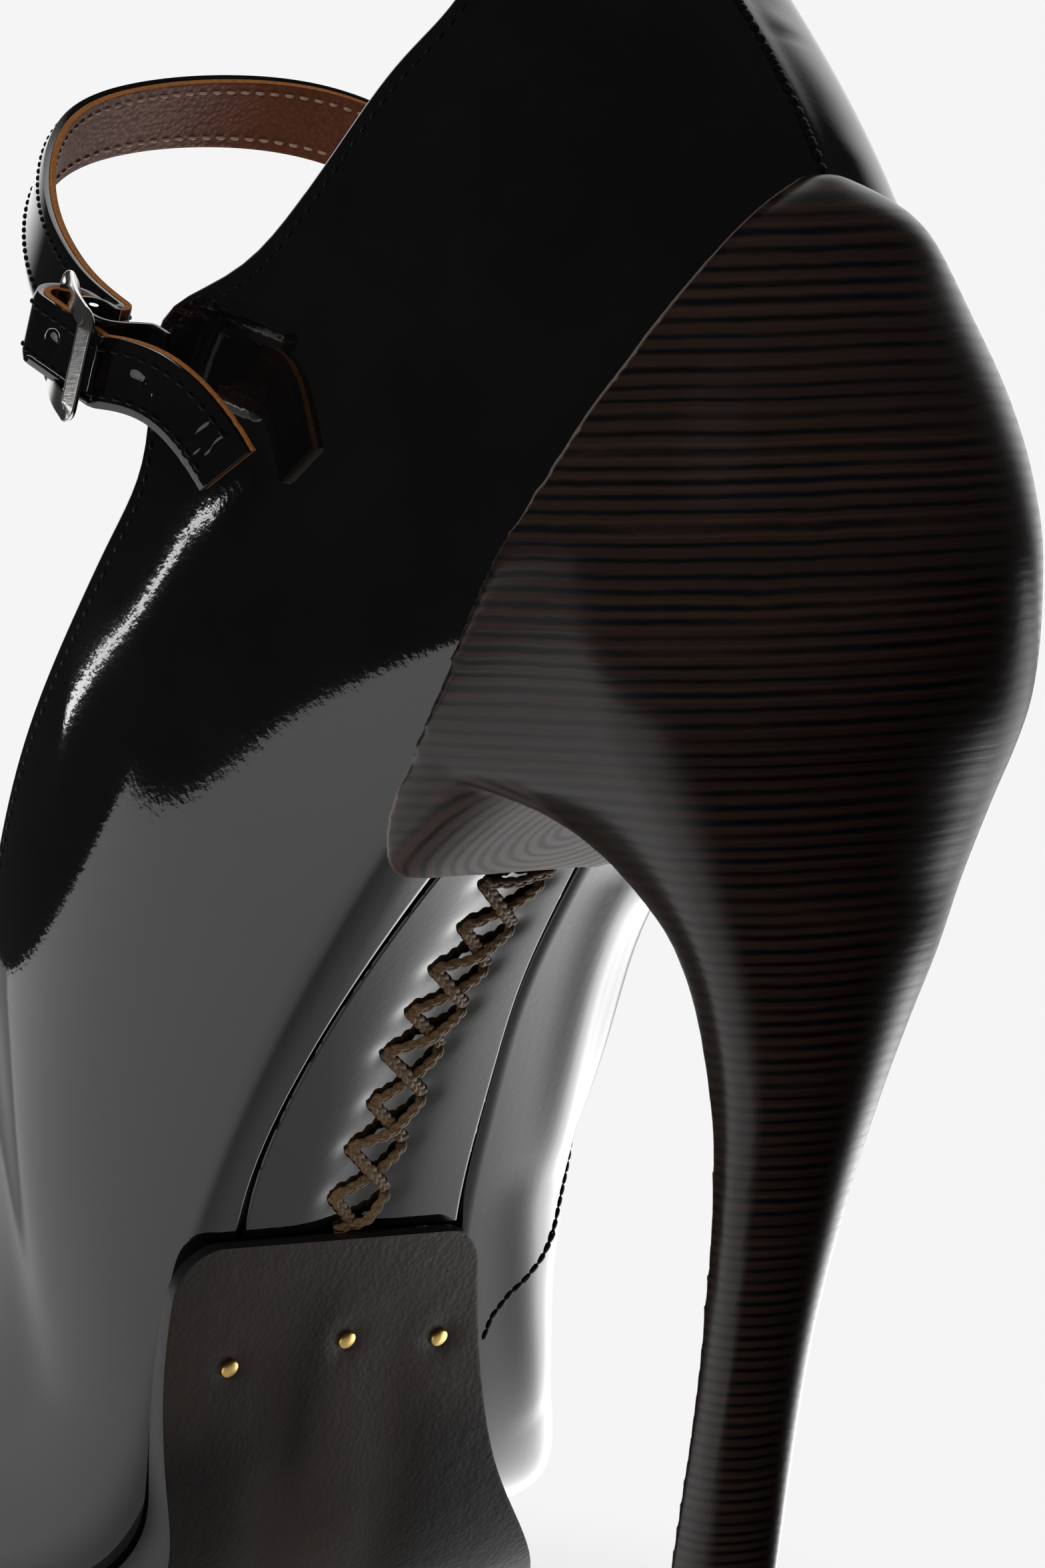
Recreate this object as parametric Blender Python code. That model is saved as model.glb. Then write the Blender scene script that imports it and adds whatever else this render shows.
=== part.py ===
"""High-heeled platform mary jane, left shoe, standing on its sole.

The toe points to -X, the lateral side to -Y and up is +Z. Tables are in
millimetres from a reference point under the ankle; the finished shoe is
moved so that its box stands centred on the origin.
"""
import functools
import math
from typing import NamedTuple

import bmesh
import bpy
import numpy as np
from mathutils import Matrix, Vector

MM = 0.001
OBJECT_NAME = "platform_mary_jane"

# Driving sizes (mm)
WALL = 1.8
FIT_GAP = 0.3
RING_STEPS = 92
WALL_STEPS = 12
HEEL_ROUND = 0.16
TOE_ROUND = 0.24
COLLAR_ROUND = 0.10
THROAT_ROUND = 0.30
INSOLE_THICK = 2.0
INSOLE_LIFT = 1.0
INSOLE_INSET = 5.4
INSOLE_ENDS = (0.03, 0.97)
INSOLE_STATIONS = 28
SOLE_REAR = 0.531
SOLE_FRONT = 0.9995
# Run along the outsole and inset across it of its two rear corners
CORNER_LATERAL = (0.020, 5.5)
CORNER_MEDIAL = (0.018, 4.0)
CORNER_STEPS = (0.1, 0.3, 0.6, 1.0)
LIP_FRONT = 0.347
COVER_THICK = 1.6
COVER_REAR = LIP_FRONT - 0.02
COVER_FRONT = SOLE_REAR + 0.006
COVER_STATIONS = 14
GROOVE = 0.9
HEEL_KNEE = 0.4
STRAP_WIDTH = 8.7
STRAP_THICK = 1.6
STRAP_EAR = 0.37
STRAP_ROOT = (9.6, 10.6, 11.6)
STRAP_LOOP_STEPS = 30
TAB_WIDTH = 6.4
TAB_THICK = 0.8
NAIL_RADIUS = 1.05
NAIL_LENGTH = 1.2
TONGUE_THICK = 3.4
TONGUE_NOSE = 0.22
TONGUE_SIDE = 4.9
TONGUE_CAMBER = 2
TONGUE_ROUND = 0.08
TONGUE_REAR = 0.08
TONGUE_SUNK = 1.0
TONGUE_ROWS = 16
# Shares that set the upper's wall between its feather line and its topline
MARGIN_KNEE = 0.35
FEATHER_SWELL = 0.25
LOW_SHARE = 0.30
HIGH_SHARE = 0.68


class Foot(NamedTuple):
    """One section of the last along its bottom: the feather line and the turned-in margin."""

    u: float
    x: float
    z: float
    axis: float
    lateral: float
    medial: float
    margin_lateral: float
    margin_medial: float
    low: float
    high: float


FOOT = (
    # u, x, z, axis, half widths, margins, swell of the wall low and high
    Foot(0.00, 18.5, 127.5, 0.0, 22.5, 22.5, 12.0, 12.0, 6.0, 8.5),
    Foot(0.08, 11.0, 125.0, 0.0, 23.5, 23.5, 12.0, 12.0, 3.5, 5.0),
    Foot(0.18, -5.0, 118.5, 0.0, 24.0, 24.0, 12.0, 13.0, 2.0, 3.0),
    Foot(0.30, -28.0, 104.5, 0.0, 23.0, 23.4, 10.5, 17.6, 2.5, 3.5),
    Foot(0.40, -46.0, 87.5, 0.0, 21.5, 24.3, 7.0, 15.8, 3.5, 4.0),
    Foot(0.50, -64.5, 64.0, 0.5, 21.5, 30.8, 4.5, 16.8, 5.0, 5.0),
    Foot(0.58, -76.5, 44.0, 3.0, 22.5, 32.3, 8.0, 14.3, 6.0, 6.0),
    Foot(0.66, -84.5, 28.0, 8.2, 25.0, 32.8, 9.0, 10.8, 6.5, 6.4),
    Foot(0.74, -97.0, 15.5, 12.6, 31.0, 40.0, 10.0, 14.0, 4.6, 5.4),
    Foot(0.82, -118.0, 11.5, 14.5, 36.5, 40.0, 10.0, 12.0, 6.5, 8.0),
    Foot(0.91, -150.0, 11.0, 14.5, 36.5, 35.0, 9.0, 9.0, 11.0, 10.0),
    Foot(1.00, -184.0, 16.0, 13.5, 32.0, 31.0, 8.0, 8.0, 15.0, 11.0),
)


class Top(NamedTuple):
    """One section of the topline, collar to throat."""

    u: float
    x: float
    z: float
    axis: float
    lateral: float
    medial: float


TOP = (
    Top(0.00, -16.5, 193.0, 0.0, 15.5, 14.5),
    Top(0.08, -17.5, 190.0, 0.0, 17.5, 16.0),
    Top(0.13, -19.5, 183.5, 0.0, 21.5, 19.0),
    Top(0.18, -26.5, 176.8, 0.0, 24.5, 22.0),
    Top(0.24, -39.0, 164.5, 0.0, 26.5, 25.0),
    Top(0.27, -47.5, 157.8, 0.0, 27.6, 26.5),
    Top(0.30, -60.0, 154.5, 0.0, 28.4, 27.0),
    Top(0.345, -61.8, 141.0, 0.0, 28.8, 27.0),
    Top(0.40, -70.0, 130.0, 0.0, 28.8, 27.0),
    Top(0.50, -86.5, 111.5, 0.5, 27.5, 26.0),
    Top(0.58, -98.0, 95.0, 2.0, 26.0, 25.0),
    Top(0.66, -107.0, 80.0, 4.6, 24.0, 23.0),
    Top(0.74, -114.0, 68.0, 7.8, 22.0, 21.5),
    Top(0.82, -119.0, 60.0, 10.0, 20.0, 20.0),
    Top(0.91, -123.0, 54.0, 11.5, 18.0, 18.0),
    Top(1.00, -125.0, 51.0, 12.0, 16.0, 16.0),
)


class Sole(NamedTuple):
    """One section of the outsole: thickness and overhang beyond the feather."""

    u: float
    thick: float
    over_lateral: float
    over_medial: float


SOLE = (
    Sole(0.52, 1.0, 3.3, -15.2),
    Sole(0.58, 1.8, 1.8, -13.0),
    Sole(0.64, 3.2, 0.7, -12.6),
    Sole(0.70, 6.2, -3.0, -11.0),
    Sole(0.78, 10.4, -3.5, -3.5),
    Sole(0.86, 11.5, -1.0, -1.0),
    Sole(1.00, 9.0, 0.5, 0.5),
)


class HeelSlice(NamedTuple):
    """One level of the wooden heel, front to back."""

    z: float
    front: float
    widest: float
    back: float
    half: float
    front_half: float
    hollow: float


HEEL = (
    HeelSlice(0.0, -22.0, -17.0, -12.0, 5.6, 4.8, 0.6),
    HeelSlice(16.0, -18.0, -13.0, -8.6, 5.2, 4.2, 0.8),
    HeelSlice(31.0, -14.2, -9.2, -5.2, 5.0, 4.0, 1.0),
    HeelSlice(49.0, -9.6, -4.6, -1.2, 5.3, 4.2, 1.0),
    HeelSlice(67.0, -6.0, 0.0, 5.0, 6.9, 4.9, 1.2),
    HeelSlice(76.0, -4.8, 2.5, 8.6, 8.4, 6.0, 1.4),
    HeelSlice(84.0, -4.6, 4.0, 11.7, 10.9, 7.4, 1.6),
    HeelSlice(91.5, -5.6, 5.0, 14.5, 13.9, 9.4, 2.0),
    HeelSlice(97.0, -8.2, 5.0, 16.0, 16.2, 12.0, 2.0),
    HeelSlice(102.0, -12.0, 4.6, 18.0, 18.6, 15.0, 1.5),
    HeelSlice(106.0, -16.0, 4.0, 19.6, 20.8, 20.0, 1.0),
    HeelSlice(109.0, -26.5, 3.4, 21.0, 22.6, 24.2, 0.0),
    HeelSlice(115.0, -22.0, 2.6, 23.4, 25.0, 25.8, 0.0),
    HeelSlice(122.0, -16.8, 1.6, 24.7, 26.2, 26.2, 0.0),
    HeelSlice(129.0, -11.8, 1.0, 25.2, 26.6, 26.4, 0.0),
    HeelSlice(136.0, -6.0, 1.0, 24.3, 25.8, 25.6, 0.0),
    HeelSlice(143.0, -1.2, 1.4, 22.1, 24.0, 23.9, 0.0),
    HeelSlice(150.0, 2.6, 3.0, 19.1, 20.4, 20.3, 0.0),
    HeelSlice(156.0, 5.2, 6.0, 16.0, 15.8, 15.7, 0.0),
    HeelSlice(161.0, 5.8, 7.8, 13.6, 10.6, 10.2, 0.0),
    HeelSlice(164.6, 5.4, 6.8, 9.6, 4.4, 4.0, 0.0),
)

HEEL_SIDE_STEPS = 13
HEEL_FRONT_STEPS = 4


class Bend(NamedTuple):
    """One cage point of the strap's loose loop and its width direction there."""

    x: float
    y: float
    z: float
    lean_x: float
    lean_z: float


STRAP_LOOP = (
    Bend(-74.0, 27.5, 163.0, 0.60, 0.80),
    Bend(-90.0, 24.0, 174.0, 0.62, 0.78),
    Bend(-98.5, 12.0, 176.5, 0.62, 0.78),
    Bend(-100.0, -2.5, 175.5, 0.60, 0.80),
    Bend(-97.3, -13.4, 172.5, 0.55, 0.84),
    Bend(-88.4, -22.4, 166.0, 0.48, 0.88),
    Bend(-78.0, -29.0, 160.0, 0.42, 0.91),
)


class Nail(NamedTuple):
    """Place of one brass nail along and across the outsole."""

    name: str
    u: float
    y: float


NAILS = (
    Nail("nail_lateral", 0.586, -12.0),
    Nail("nail_middle", 0.582, 3.8),
    Nail("nail_medial", 0.5895, 17.3),
)

# The buckle's own directions: along the strap toward its end, across it, and out
BUCKLE_CENTRE = np.array([-60.5, -36.4, 150.8])
STRAP_FALL = math.radians(23.5)
BUCKLE_LONG = np.array([math.cos(STRAP_FALL), 0.0, -math.sin(STRAP_FALL)])
BUCKLE_WIDE = np.array([math.sin(STRAP_FALL), 0.0, math.cos(STRAP_FALL)])
BUCKLE_OUT = np.array([0.0, -1.0, 0.0])
# Heights of the strap's three layers off the buckle's plane, and where it turns
LAYER_IN, LAYER_BACK, LAYER_FREE = -5.0, -2.7, 2.7
TURN_REAR, TURN_FRONT, STRAP_END = -2.6, -5.0, 21.8
STRAP_DROOP = 3.9
STRAP_CLOSE = 5.4
STRAP_ARCH = 1.6
FRAME_REAR, FRAME_FRONT, FRAME_HALF = 5.6, -5.0, 5.6
FRAME_RISE = 5.2
FRAME_BOW = 1.8
FRAME_WIDE, FRAME_THICK = 1.8, 1.1
PIN_RADIUS = 0.5
PIN_AT = -0.8
TAB_ACROSS = 1.3
TAB_REAR = 7.2
TAB_LOW = -4.6
TAB_FOLD = 1.6
TAB_BEND = 3.4


def column(rows, name):
    """Smooth curve through one named column of a table, without overshoot."""
    keys = np.array([row[0] for row in rows])
    values = np.array([getattr(row, name) for row in rows])
    steps = np.diff(keys)
    rise = np.diff(values) / steps
    slope = np.empty_like(values)
    slope[0], slope[-1] = rise[0], rise[-1]
    for i in range(1, len(values) - 1):
        slope[i] = 0.0 if rise[i - 1] * rise[i] <= 0 else (
            2 * rise[i - 1] * rise[i] / (rise[i - 1] + rise[i]))

    def curve(at):
        at = float(np.clip(at, keys[0], keys[-1]))
        i = int(np.clip(np.searchsorted(keys, at) - 1, 0, len(steps) - 1))
        h = steps[i]
        t = (at - keys[i]) / h
        return ((1 + 2 * t) * (1 - t) ** 2 * values[i] + t * (1 - t) ** 2 * h * slope[i]
                + t * t * (3 - 2 * t) * values[i + 1] + t * t * (t - 1) * h * slope[i + 1])

    return curve


def columns(rows):
    """Smooth curves of all the columns of a table, by name."""
    return {name: column(rows, name) for name in rows[0]._fields[1:]}


FOOT_AT = columns(FOOT)
TOP_AT = columns(TOP)
SOLE_AT = columns(SOLE)
HEEL_AT = columns(HEEL)


def unit(vector):
    """The vector at length one."""
    return vector / np.linalg.norm(vector)


def end_round(u, near, far):
    """Share of the full half width that the round ends leave at u."""
    if u < near:
        return math.sqrt(max(0.0, 1 - (1 - u / near) ** 2))
    if u > 1 - far:
        return math.sqrt(max(0.0, 1 - ((u - 1 + far) / far) ** 2))
    return 1.0


def side_of(side):
    """Column suffix of the side: -1 is lateral, +1 is medial."""
    return "lateral" if side < 0 else "medial"


def feather(u, side):
    """Point of the feather line, where the upper turns under."""
    half = FOOT_AT[side_of(side)](u) * end_round(u, HEEL_ROUND, TOE_ROUND)
    return np.array([FOOT_AT["x"](u), FOOT_AT["axis"](u) + side * half, FOOT_AT["z"](u)])


def topline(u, side):
    """Point of the collar and throat edge."""
    half = TOP_AT[side_of(side)](u) * end_round(u, COLLAR_ROUND, THROAT_ROUND)
    return np.array([TOP_AT["x"](u), TOP_AT["axis"](u) + side * half, TOP_AT["z"](u)])


def along(u):
    """Direction of the bottom toward the toe, and the one up into the shoe."""
    step = 0.004
    low, high = max(0.0, u - step), min(1.0, u + step)
    run = np.array([FOOT_AT["x"](high) - FOOT_AT["x"](low), 0.0,
                    FOOT_AT["z"](high) - FOOT_AT["z"](low)])
    toward = unit(run)
    return toward, np.array([toward[2], 0.0, -toward[0]])


def turn(theta):
    """Section and side at one angle round the shoe, from heel to toe and back."""
    return (1 - math.cos(theta)) / 2, -1 if theta <= math.pi else 1


def spline(cage, steps):
    """Points along a clamped cubic curve over a cage of control points."""
    cage = np.array(cage)
    spans = len(cage) - 3
    knots = [0.0] * 3 + list(range(spans + 1)) + [float(spans)] * 3
    points = []
    for at in np.linspace(0, spans, steps + 1):
        k = min(int(at), spans - 1) + 3
        row = [cage[j] for j in range(k - 3, k + 1)]
        for r in range(1, 4):
            for j in range(3, r - 1, -1):
                low = knots[j + k - 3]
                share = (at - low) / (knots[j + 1 + k - r] - low)
                row[j] = (1 - share) * row[j - 1] + share * row[j]
        points.append(row[3])
    return points


def bottom_frame(theta):
    """Feather point at one angle, with the directions outward and up into the shoe."""
    u, side = turn(theta)
    up = along(u)[1]
    step = 0.01
    ahead = feather(*turn(min(theta + step, 2 * math.pi)))
    behind = feather(*turn(max(theta - step, 0.0)))
    return feather(u, side), unit(np.cross(up, unit(ahead - behind))), up


FINE_U = np.linspace(0, 1, 401)
FINE_X = np.array([FOOT_AT["x"](u) for u in FINE_U])


def on_bottom(point):
    """The point set level with the curve of the shoe's bottom."""
    u = np.interp(-point[0], -FINE_X, FINE_U)
    return np.array([point[0], point[1], FOOT_AT["z"](u)])


@functools.lru_cache(maxsize=None)
def wall_line(theta):
    """The upper's outer line at one angle: margin, feather edge, wall, topline."""
    u, side = turn(theta)
    low, outward, _ = bottom_frame(theta)
    high = topline(u, side)
    chord = unit(high - low)
    swell = unit(outward - chord * outward.dot(chord))
    margin = FOOT_AT["margin_" + side_of(side)](u)
    cage = (
        on_bottom(low - outward * margin),
        on_bottom(low - outward * margin * MARGIN_KNEE),
        low + swell * FOOT_AT["low"](u) * FEATHER_SWELL,
        low + (high - low) * LOW_SHARE + swell * FOOT_AT["low"](u),
        low + (high - low) * HIGH_SHARE + swell * FOOT_AT["high"](u),
        high,
    )
    return spline(cage, WALL_STEPS)


def wall_grid():
    """Outer points of the upper, by angle and by step up the wall."""
    turns = [2 * math.pi * k / RING_STEPS for k in range(RING_STEPS)]
    return np.array([wall_line(theta) for theta in turns])


def grid_normals(grid):
    """Outward normals of a grid that closes on itself along its first axis."""
    round_way = np.roll(grid, -1, axis=0) - np.roll(grid, 1, axis=0)
    up_way = np.gradient(grid, axis=1)
    normals = np.cross(up_way, round_way)
    return normals / np.linalg.norm(normals, axis=2, keepdims=True)


WALLS = wall_grid()
WALL_NORMALS = grid_normals(WALLS)


def mesh_object(name, points, faces, group):
    """Closed mesh object from points in millimetres, with its faces pointing out."""
    mesh = bpy.data.meshes.new(name)
    mesh.from_pydata([tuple(float(c) * MM for c in p) for p in points], [], faces)
    shape = bmesh.new()
    shape.from_mesh(mesh)
    bmesh.ops.remove_doubles(shape, verts=shape.verts, dist=1e-6)
    bmesh.ops.triangulate(shape, faces=[f for f in shape.faces if len(f.verts) > 3])
    bmesh.ops.recalc_face_normals(shape, faces=shape.faces)
    if shape.calc_volume(signed=True) < 0:
        bmesh.ops.reverse_faces(shape, faces=shape.faces)
    shape.to_mesh(mesh)
    shape.free()
    obj = bpy.data.objects.new(name, mesh)
    group.objects.link(obj)
    return obj


def tube_faces(rings, count, closed):
    """Quads between rings of equal size laid one after another."""
    pairs = range(rings) if closed else range(rings - 1)
    faces = []
    for i in pairs:
        for j in range(count):
            a, b = i * count, (i + 1) % rings * count
            k = (j + 1) % count
            faces.append((a + j, a + k, b + k, b + j))
    return faces


def make_upper(group):
    """Hollow upper: one wall, open at the collar, the throat and underneath."""
    inner = WALLS - WALL_NORMALS * WALL
    rings = np.concatenate([WALLS, inner[:, ::-1]], axis=1)
    count = rings.shape[1]
    return mesh_object("upper", rings.reshape(-1, 3), tube_faces(RING_STEPS, count, True), group)


def make_last(group):
    """Cutter in the form of the filled upper, one fit gap larger all round."""
    skin = WALLS + WALL_NORMALS * FIT_GAP
    count = skin.shape[1]
    faces = []
    for i in range(RING_STEPS):
        k = (i + 1) % RING_STEPS
        faces += [(i * count + j, k * count + j, k * count + j + 1, i * count + j + 1)
                  for j in range(count - 1)]
    half = RING_STEPS // 2
    for i in range(half):
        a, b = i, i + 1
        c, d = (RING_STEPS - b) % RING_STEPS, (RING_STEPS - a) % RING_STEPS
        for j in (0, count - 1):
            corners = [a * count + j, b * count + j, c * count + j, d * count + j]
            corners = list(dict.fromkeys(corners))
            if len(corners) > 2:
                faces.append(tuple(corners))
    return mesh_object("last_cutter", skin.reshape(-1, 3), faces, group)


def slab(name, stations, group, across=8):
    """Sheet along the shoe's bottom from stations of left, right, up, top and base."""
    rings = []
    for left, right, up, top, base in stations:
        shares = np.linspace(0, 1, across + 1)
        above = [left + (right - left) * share + up * top for share in shares]
        below = [left + (right - left) * share + up * base for share in shares[::-1]]
        rings.append(above + below)
    count = len(rings[0])
    faces = tube_faces(len(rings), count, False)
    for start in (0, (len(rings) - 1) * count):
        faces += [(start + j, start + j + 1, start + count - 2 - j, start + count - 1 - j)
                  for j in range(across)]
    return mesh_object(name, np.array(rings).reshape(-1, 3), faces, group)


def bottom_point(u, y):
    """Point of the upper's underside at one section, y off the middle line."""
    return np.array([FOOT_AT["x"](u), y, FOOT_AT["z"](u)])


def make_insole(group):
    """Lining board that lies on the turned-in margin."""
    stations = []
    base = WALL + INSOLE_LIFT
    for theta in np.linspace(*INSOLE_ENDS, INSOLE_STATIONS) * math.pi:
        sides = []
        for angle in (theta, 2 * math.pi - theta):
            low, outward, up = bottom_frame(angle)
            sides.append(on_bottom(low - outward * INSOLE_INSET))
        stations.append((*sides, up, base + INSOLE_THICK, base))
    return slab("insole", stations, group)


def groove_edge(u, side):
    """Sideways place of the edge that the turned-in margin leaves open."""
    return feather(u, side)[1] - side * FOOT_AT["margin_" + side_of(side)](u)


def make_waist_cover(group):
    """Patent strip between the two grooves, from the heel's lip to just under the outsole."""
    stations = []
    for u in np.linspace(COVER_REAR, COVER_FRONT, COVER_STATIONS):
        left, right = (bottom_point(u, groove_edge(u, side) - side * GROOVE) for side in (-1, 1))
        stations.append((left, right, along(u)[1], COVER_THICK, 0.0))
    return slab("waist_cover", stations, group)


def sole_edge(u, side):
    """Sideways place of the outsole's edge, rounded at its rear corners."""
    run, inset = CORNER_LATERAL if side < 0 else CORNER_MEDIAL
    share = min(1.0, (u - SOLE_REAR) / run)
    round_off = inset * (1 - math.sqrt(max(0.0, 1 - (1 - share) ** 2)))
    over = SOLE_AT["over_" + side_of(side)](u)
    half = (FOOT_AT[side_of(side)](u) + over) * end_round(u, HEEL_ROUND, TOE_ROUND)
    return FOOT_AT["axis"](u) + side * (half - round_off)


def make_outsole(group):
    """Leather forepart that thickens into a low platform at the ball."""
    sections = [turn(2 * math.pi * k / RING_STEPS)[0] for k in range(RING_STEPS // 2)]
    corners = [SOLE_REAR + CORNER_LATERAL[0] * share for share in CORNER_STEPS]
    stations = []
    for u in (SOLE_REAR, *corners, *(u for u in sections if u > corners[-1]), SOLE_FRONT):
        left, right = (bottom_point(u, sole_edge(u, side)) for side in (-1, 1))
        stations.append((left, right, along(u)[1], -FIT_GAP, -FIT_GAP - SOLE_AT["thick"](u)))
    sole = slab("outsole", stations, group)
    for vertex in sole.data.vertices:
        vertex.co.z = max(vertex.co.z, 0.0)
    return sole


def heel_ring(z):
    """Outline of the heel at one level: lateral side, medial side, breast."""
    row = {name: HEEL_AT[name](z) for name in HEEL_AT}
    side = []
    for step in np.linspace(0, 1, HEEL_SIDE_STEPS):
        if step < HEEL_KNEE:
            share = step / HEEL_KNEE
            x = row["front"] + (row["widest"] - row["front"]) * share
            half = row["front_half"] + (row["half"] - row["front_half"]) * math.sin(share * math.pi / 2)
        else:
            angle = (step - HEEL_KNEE) / (1 - HEEL_KNEE) * math.pi / 2
            x = row["widest"] + (row["back"] - row["widest"]) * math.sin(angle)
            half = row["half"] * math.cos(angle)
        side.append((x, half))
    ring = [(x, -half, z) for x, half in side]
    ring += [(x, half, z) for x, half in side[-2::-1]]
    for share in np.linspace(1, -1, HEEL_FRONT_STEPS + 1)[1:-1]:
        x = row["front"] + row["hollow"] * (1 - share ** 2)
        ring.append((x, row["front_half"] * share, z))
    return ring


def make_heel(group, cutters, last):
    """Wooden heel: a leaning column that swells into a cup round the upper."""
    levels = []
    for low, high in zip(HEEL, HEEL[1:]):
        levels += [low.z, (low.z + high.z) / 2]
    levels.append(HEEL[-1].z)
    rings = [heel_ring(z) for z in levels]
    count = len(rings[0])
    faces = tube_faces(len(rings), count, False)
    faces.append(tuple(range(count))[::-1])
    faces.append(tuple(range((len(rings) - 1) * count, len(rings) * count)))
    heel = mesh_object("heel", [p for ring in rings for p in ring], faces, group)
    tongue = make_tongue(cutters)
    for name, operation, cutter in (("join_tongue", "UNION", tongue), ("seat", "DIFFERENCE", last)):
        cut = heel.modifiers.new(name, "BOOLEAN")
        cut.operation = operation
        cut.object = cutter
    return heel


def angle_of(u, side):
    """Angle round the shoe of one section on one side."""
    theta = math.acos(1 - 2 * u)
    return theta if side < 0 else 2 * math.pi - theta


def skin_at(theta, height):
    """Point of the upper's outer wall at one angle, part way up it."""
    line = wall_line(theta)
    j = min(int(height), WALL_STEPS - 1)
    share = height - j
    return line[j] * (1 - share) + line[j + 1] * share


def skin_point(theta, height, offset):
    """Point off the upper's wall, moved out along its normal."""
    turn_step, rise_step = 0.01, 0.2
    round_way = skin_at(theta + turn_step, height) - skin_at(theta - turn_step, height)
    up_way = (skin_at(theta, min(height + rise_step, WALL_STEPS))
              - skin_at(theta, max(height - rise_step, 0.0)))
    return skin_at(theta, height) + unit(np.cross(up_way, round_way)) * offset


def make_tongue(group):
    """Spoon of wood that runs forward under the waist and laps up its sides."""
    lap_steps, rows = 7, []
    shares = np.linspace(0, 1, lap_steps)
    for u in LIP_FRONT - (LIP_FRONT - TONGUE_REAR) * np.linspace(0, 1, TONGUE_ROWS) ** 2:
        ahead = min(1.0, (LIP_FRONT - u) / TONGUE_ROUND)
        fullness = TONGUE_NOSE + (1 - TONGUE_NOSE) * math.sqrt(1 - (1 - ahead) ** 2)
        reach = TONGUE_SIDE * fullness
        over = [(-1, share) for share in shares[::-1]] + [(1, share) for share in shares]
        outer, inner = [], []
        for side, share in over:
            theta = angle_of(u, side)
            outer.append(skin_point(theta, reach * share, TONGUE_THICK * fullness * (1 - share ** TONGUE_CAMBER)))
            inner.append(skin_point(theta, reach * share, -TONGUE_SUNK))
        rows.append(outer + inner[::-1])
    count = len(rows[0])
    faces = tube_faces(len(rows), count, False)
    for start in (0, (len(rows) - 1) * count):
        faces += [(start + j, start + j + 1, start + count - 2 - j, start + count - 1 - j)
                  for j in range(count // 2 - 1)]
    return mesh_object("tongue_cutter", np.array(rows).reshape(-1, 3), faces, group)


def hide_cutters(group):
    """Keep the cutting shapes out of renders."""
    for obj in group.objects:
        obj.hide_render = True
        obj.display_type = "WIRE"


def ribbon(name, path, leans, size, group, closed=False):
    """Strip of one width and thickness along a path, each point with its width direction."""
    path = np.array(path)
    wide, thick = size
    if closed:
        ways = np.roll(path, -1, axis=0) - np.roll(path, 1, axis=0)
    else:
        ways = np.gradient(path, axis=0)
    rings = []
    for point, way, lean in zip(path, ways, leans):
        lean = unit(np.array(lean) - unit(way) * np.dot(lean, unit(way)))
        side, face = lean * wide / 2, unit(np.cross(way, lean)) * thick / 2
        rings.append([point + side + face, point + side - face,
                      point - side - face, point - side + face])
    faces = tube_faces(len(rings), 4, closed)
    if not closed:
        last = (len(rings) - 1) * 4
        faces += [(3, 2, 1, 0), (last, last + 1, last + 2, last + 3)]
    return mesh_object(name, np.array(rings).reshape(-1, 3), faces, group)


def at_buckle(along_strap, out, across=0.0):
    """Point in the buckle's own directions."""
    return BUCKLE_CENTRE + BUCKLE_LONG * along_strap + BUCKLE_OUT * out + BUCKLE_WIDE * across


def fold(along_strap, start, end, toward, steps=6):
    """Half circle where the strap turns from one layer to the next."""
    middle, radius = (start + end) / 2, (end - start) / 2
    angles = np.linspace(0, math.pi, steps + 1)[1:-1]
    return [at_buckle(along_strap + toward * radius * math.sin(a), middle - radius * math.cos(a))
            for a in angles]


def make_strap(group):
    """Instep strap: sewn to the medial quarter, looped over and folded round the buckle."""
    ear = angle_of(STRAP_EAR, 1)
    root = [skin_point(ear, height, STRAP_THICK / 2 + 2 * FIT_GAP) for height in STRAP_ROOT]
    arrive = [at_buckle(place, LAYER_IN) for place in (2 * TURN_FRONT, TURN_FRONT, TURN_REAR)]
    leans = [(row.lean_x, 0.0, row.lean_z) for row in STRAP_LOOP]
    cage = root + [np.array(row[:3]) for row in STRAP_LOOP] + arrive
    cage_leans = [leans[0]] * len(root) + leans + [tuple(BUCKLE_WIDE)] * len(arrive)
    path = spline(cage, STRAP_LOOP_STEPS)
    path_leans = spline(cage_leans, STRAP_LOOP_STEPS)
    tail = fold(TURN_REAR, LAYER_IN, LAYER_BACK, 1)
    tail += [at_buckle(TURN_REAR, LAYER_BACK), at_buckle(TURN_FRONT, LAYER_BACK)]
    tail += fold(TURN_FRONT, LAYER_BACK, LAYER_FREE, -1)
    tail += [at_buckle(TURN_FRONT, LAYER_FREE), at_buckle(FRAME_REAR, LAYER_FREE)]
    for share in (0.25, 0.5, 0.75, 1.0):
        place = STRAP_END * share + FRAME_REAR * (1 - share)
        lift = STRAP_ARCH * math.sin(math.pi * share) - STRAP_DROOP * share ** 2
        tail.append(at_buckle(place, LAYER_FREE - STRAP_CLOSE * share, lift))
    path += tail
    path_leans += [tuple(BUCKLE_WIDE)] * len(tail)
    return ribbon("strap", path, path_leans, (STRAP_WIDTH, STRAP_THICK), group)


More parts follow.
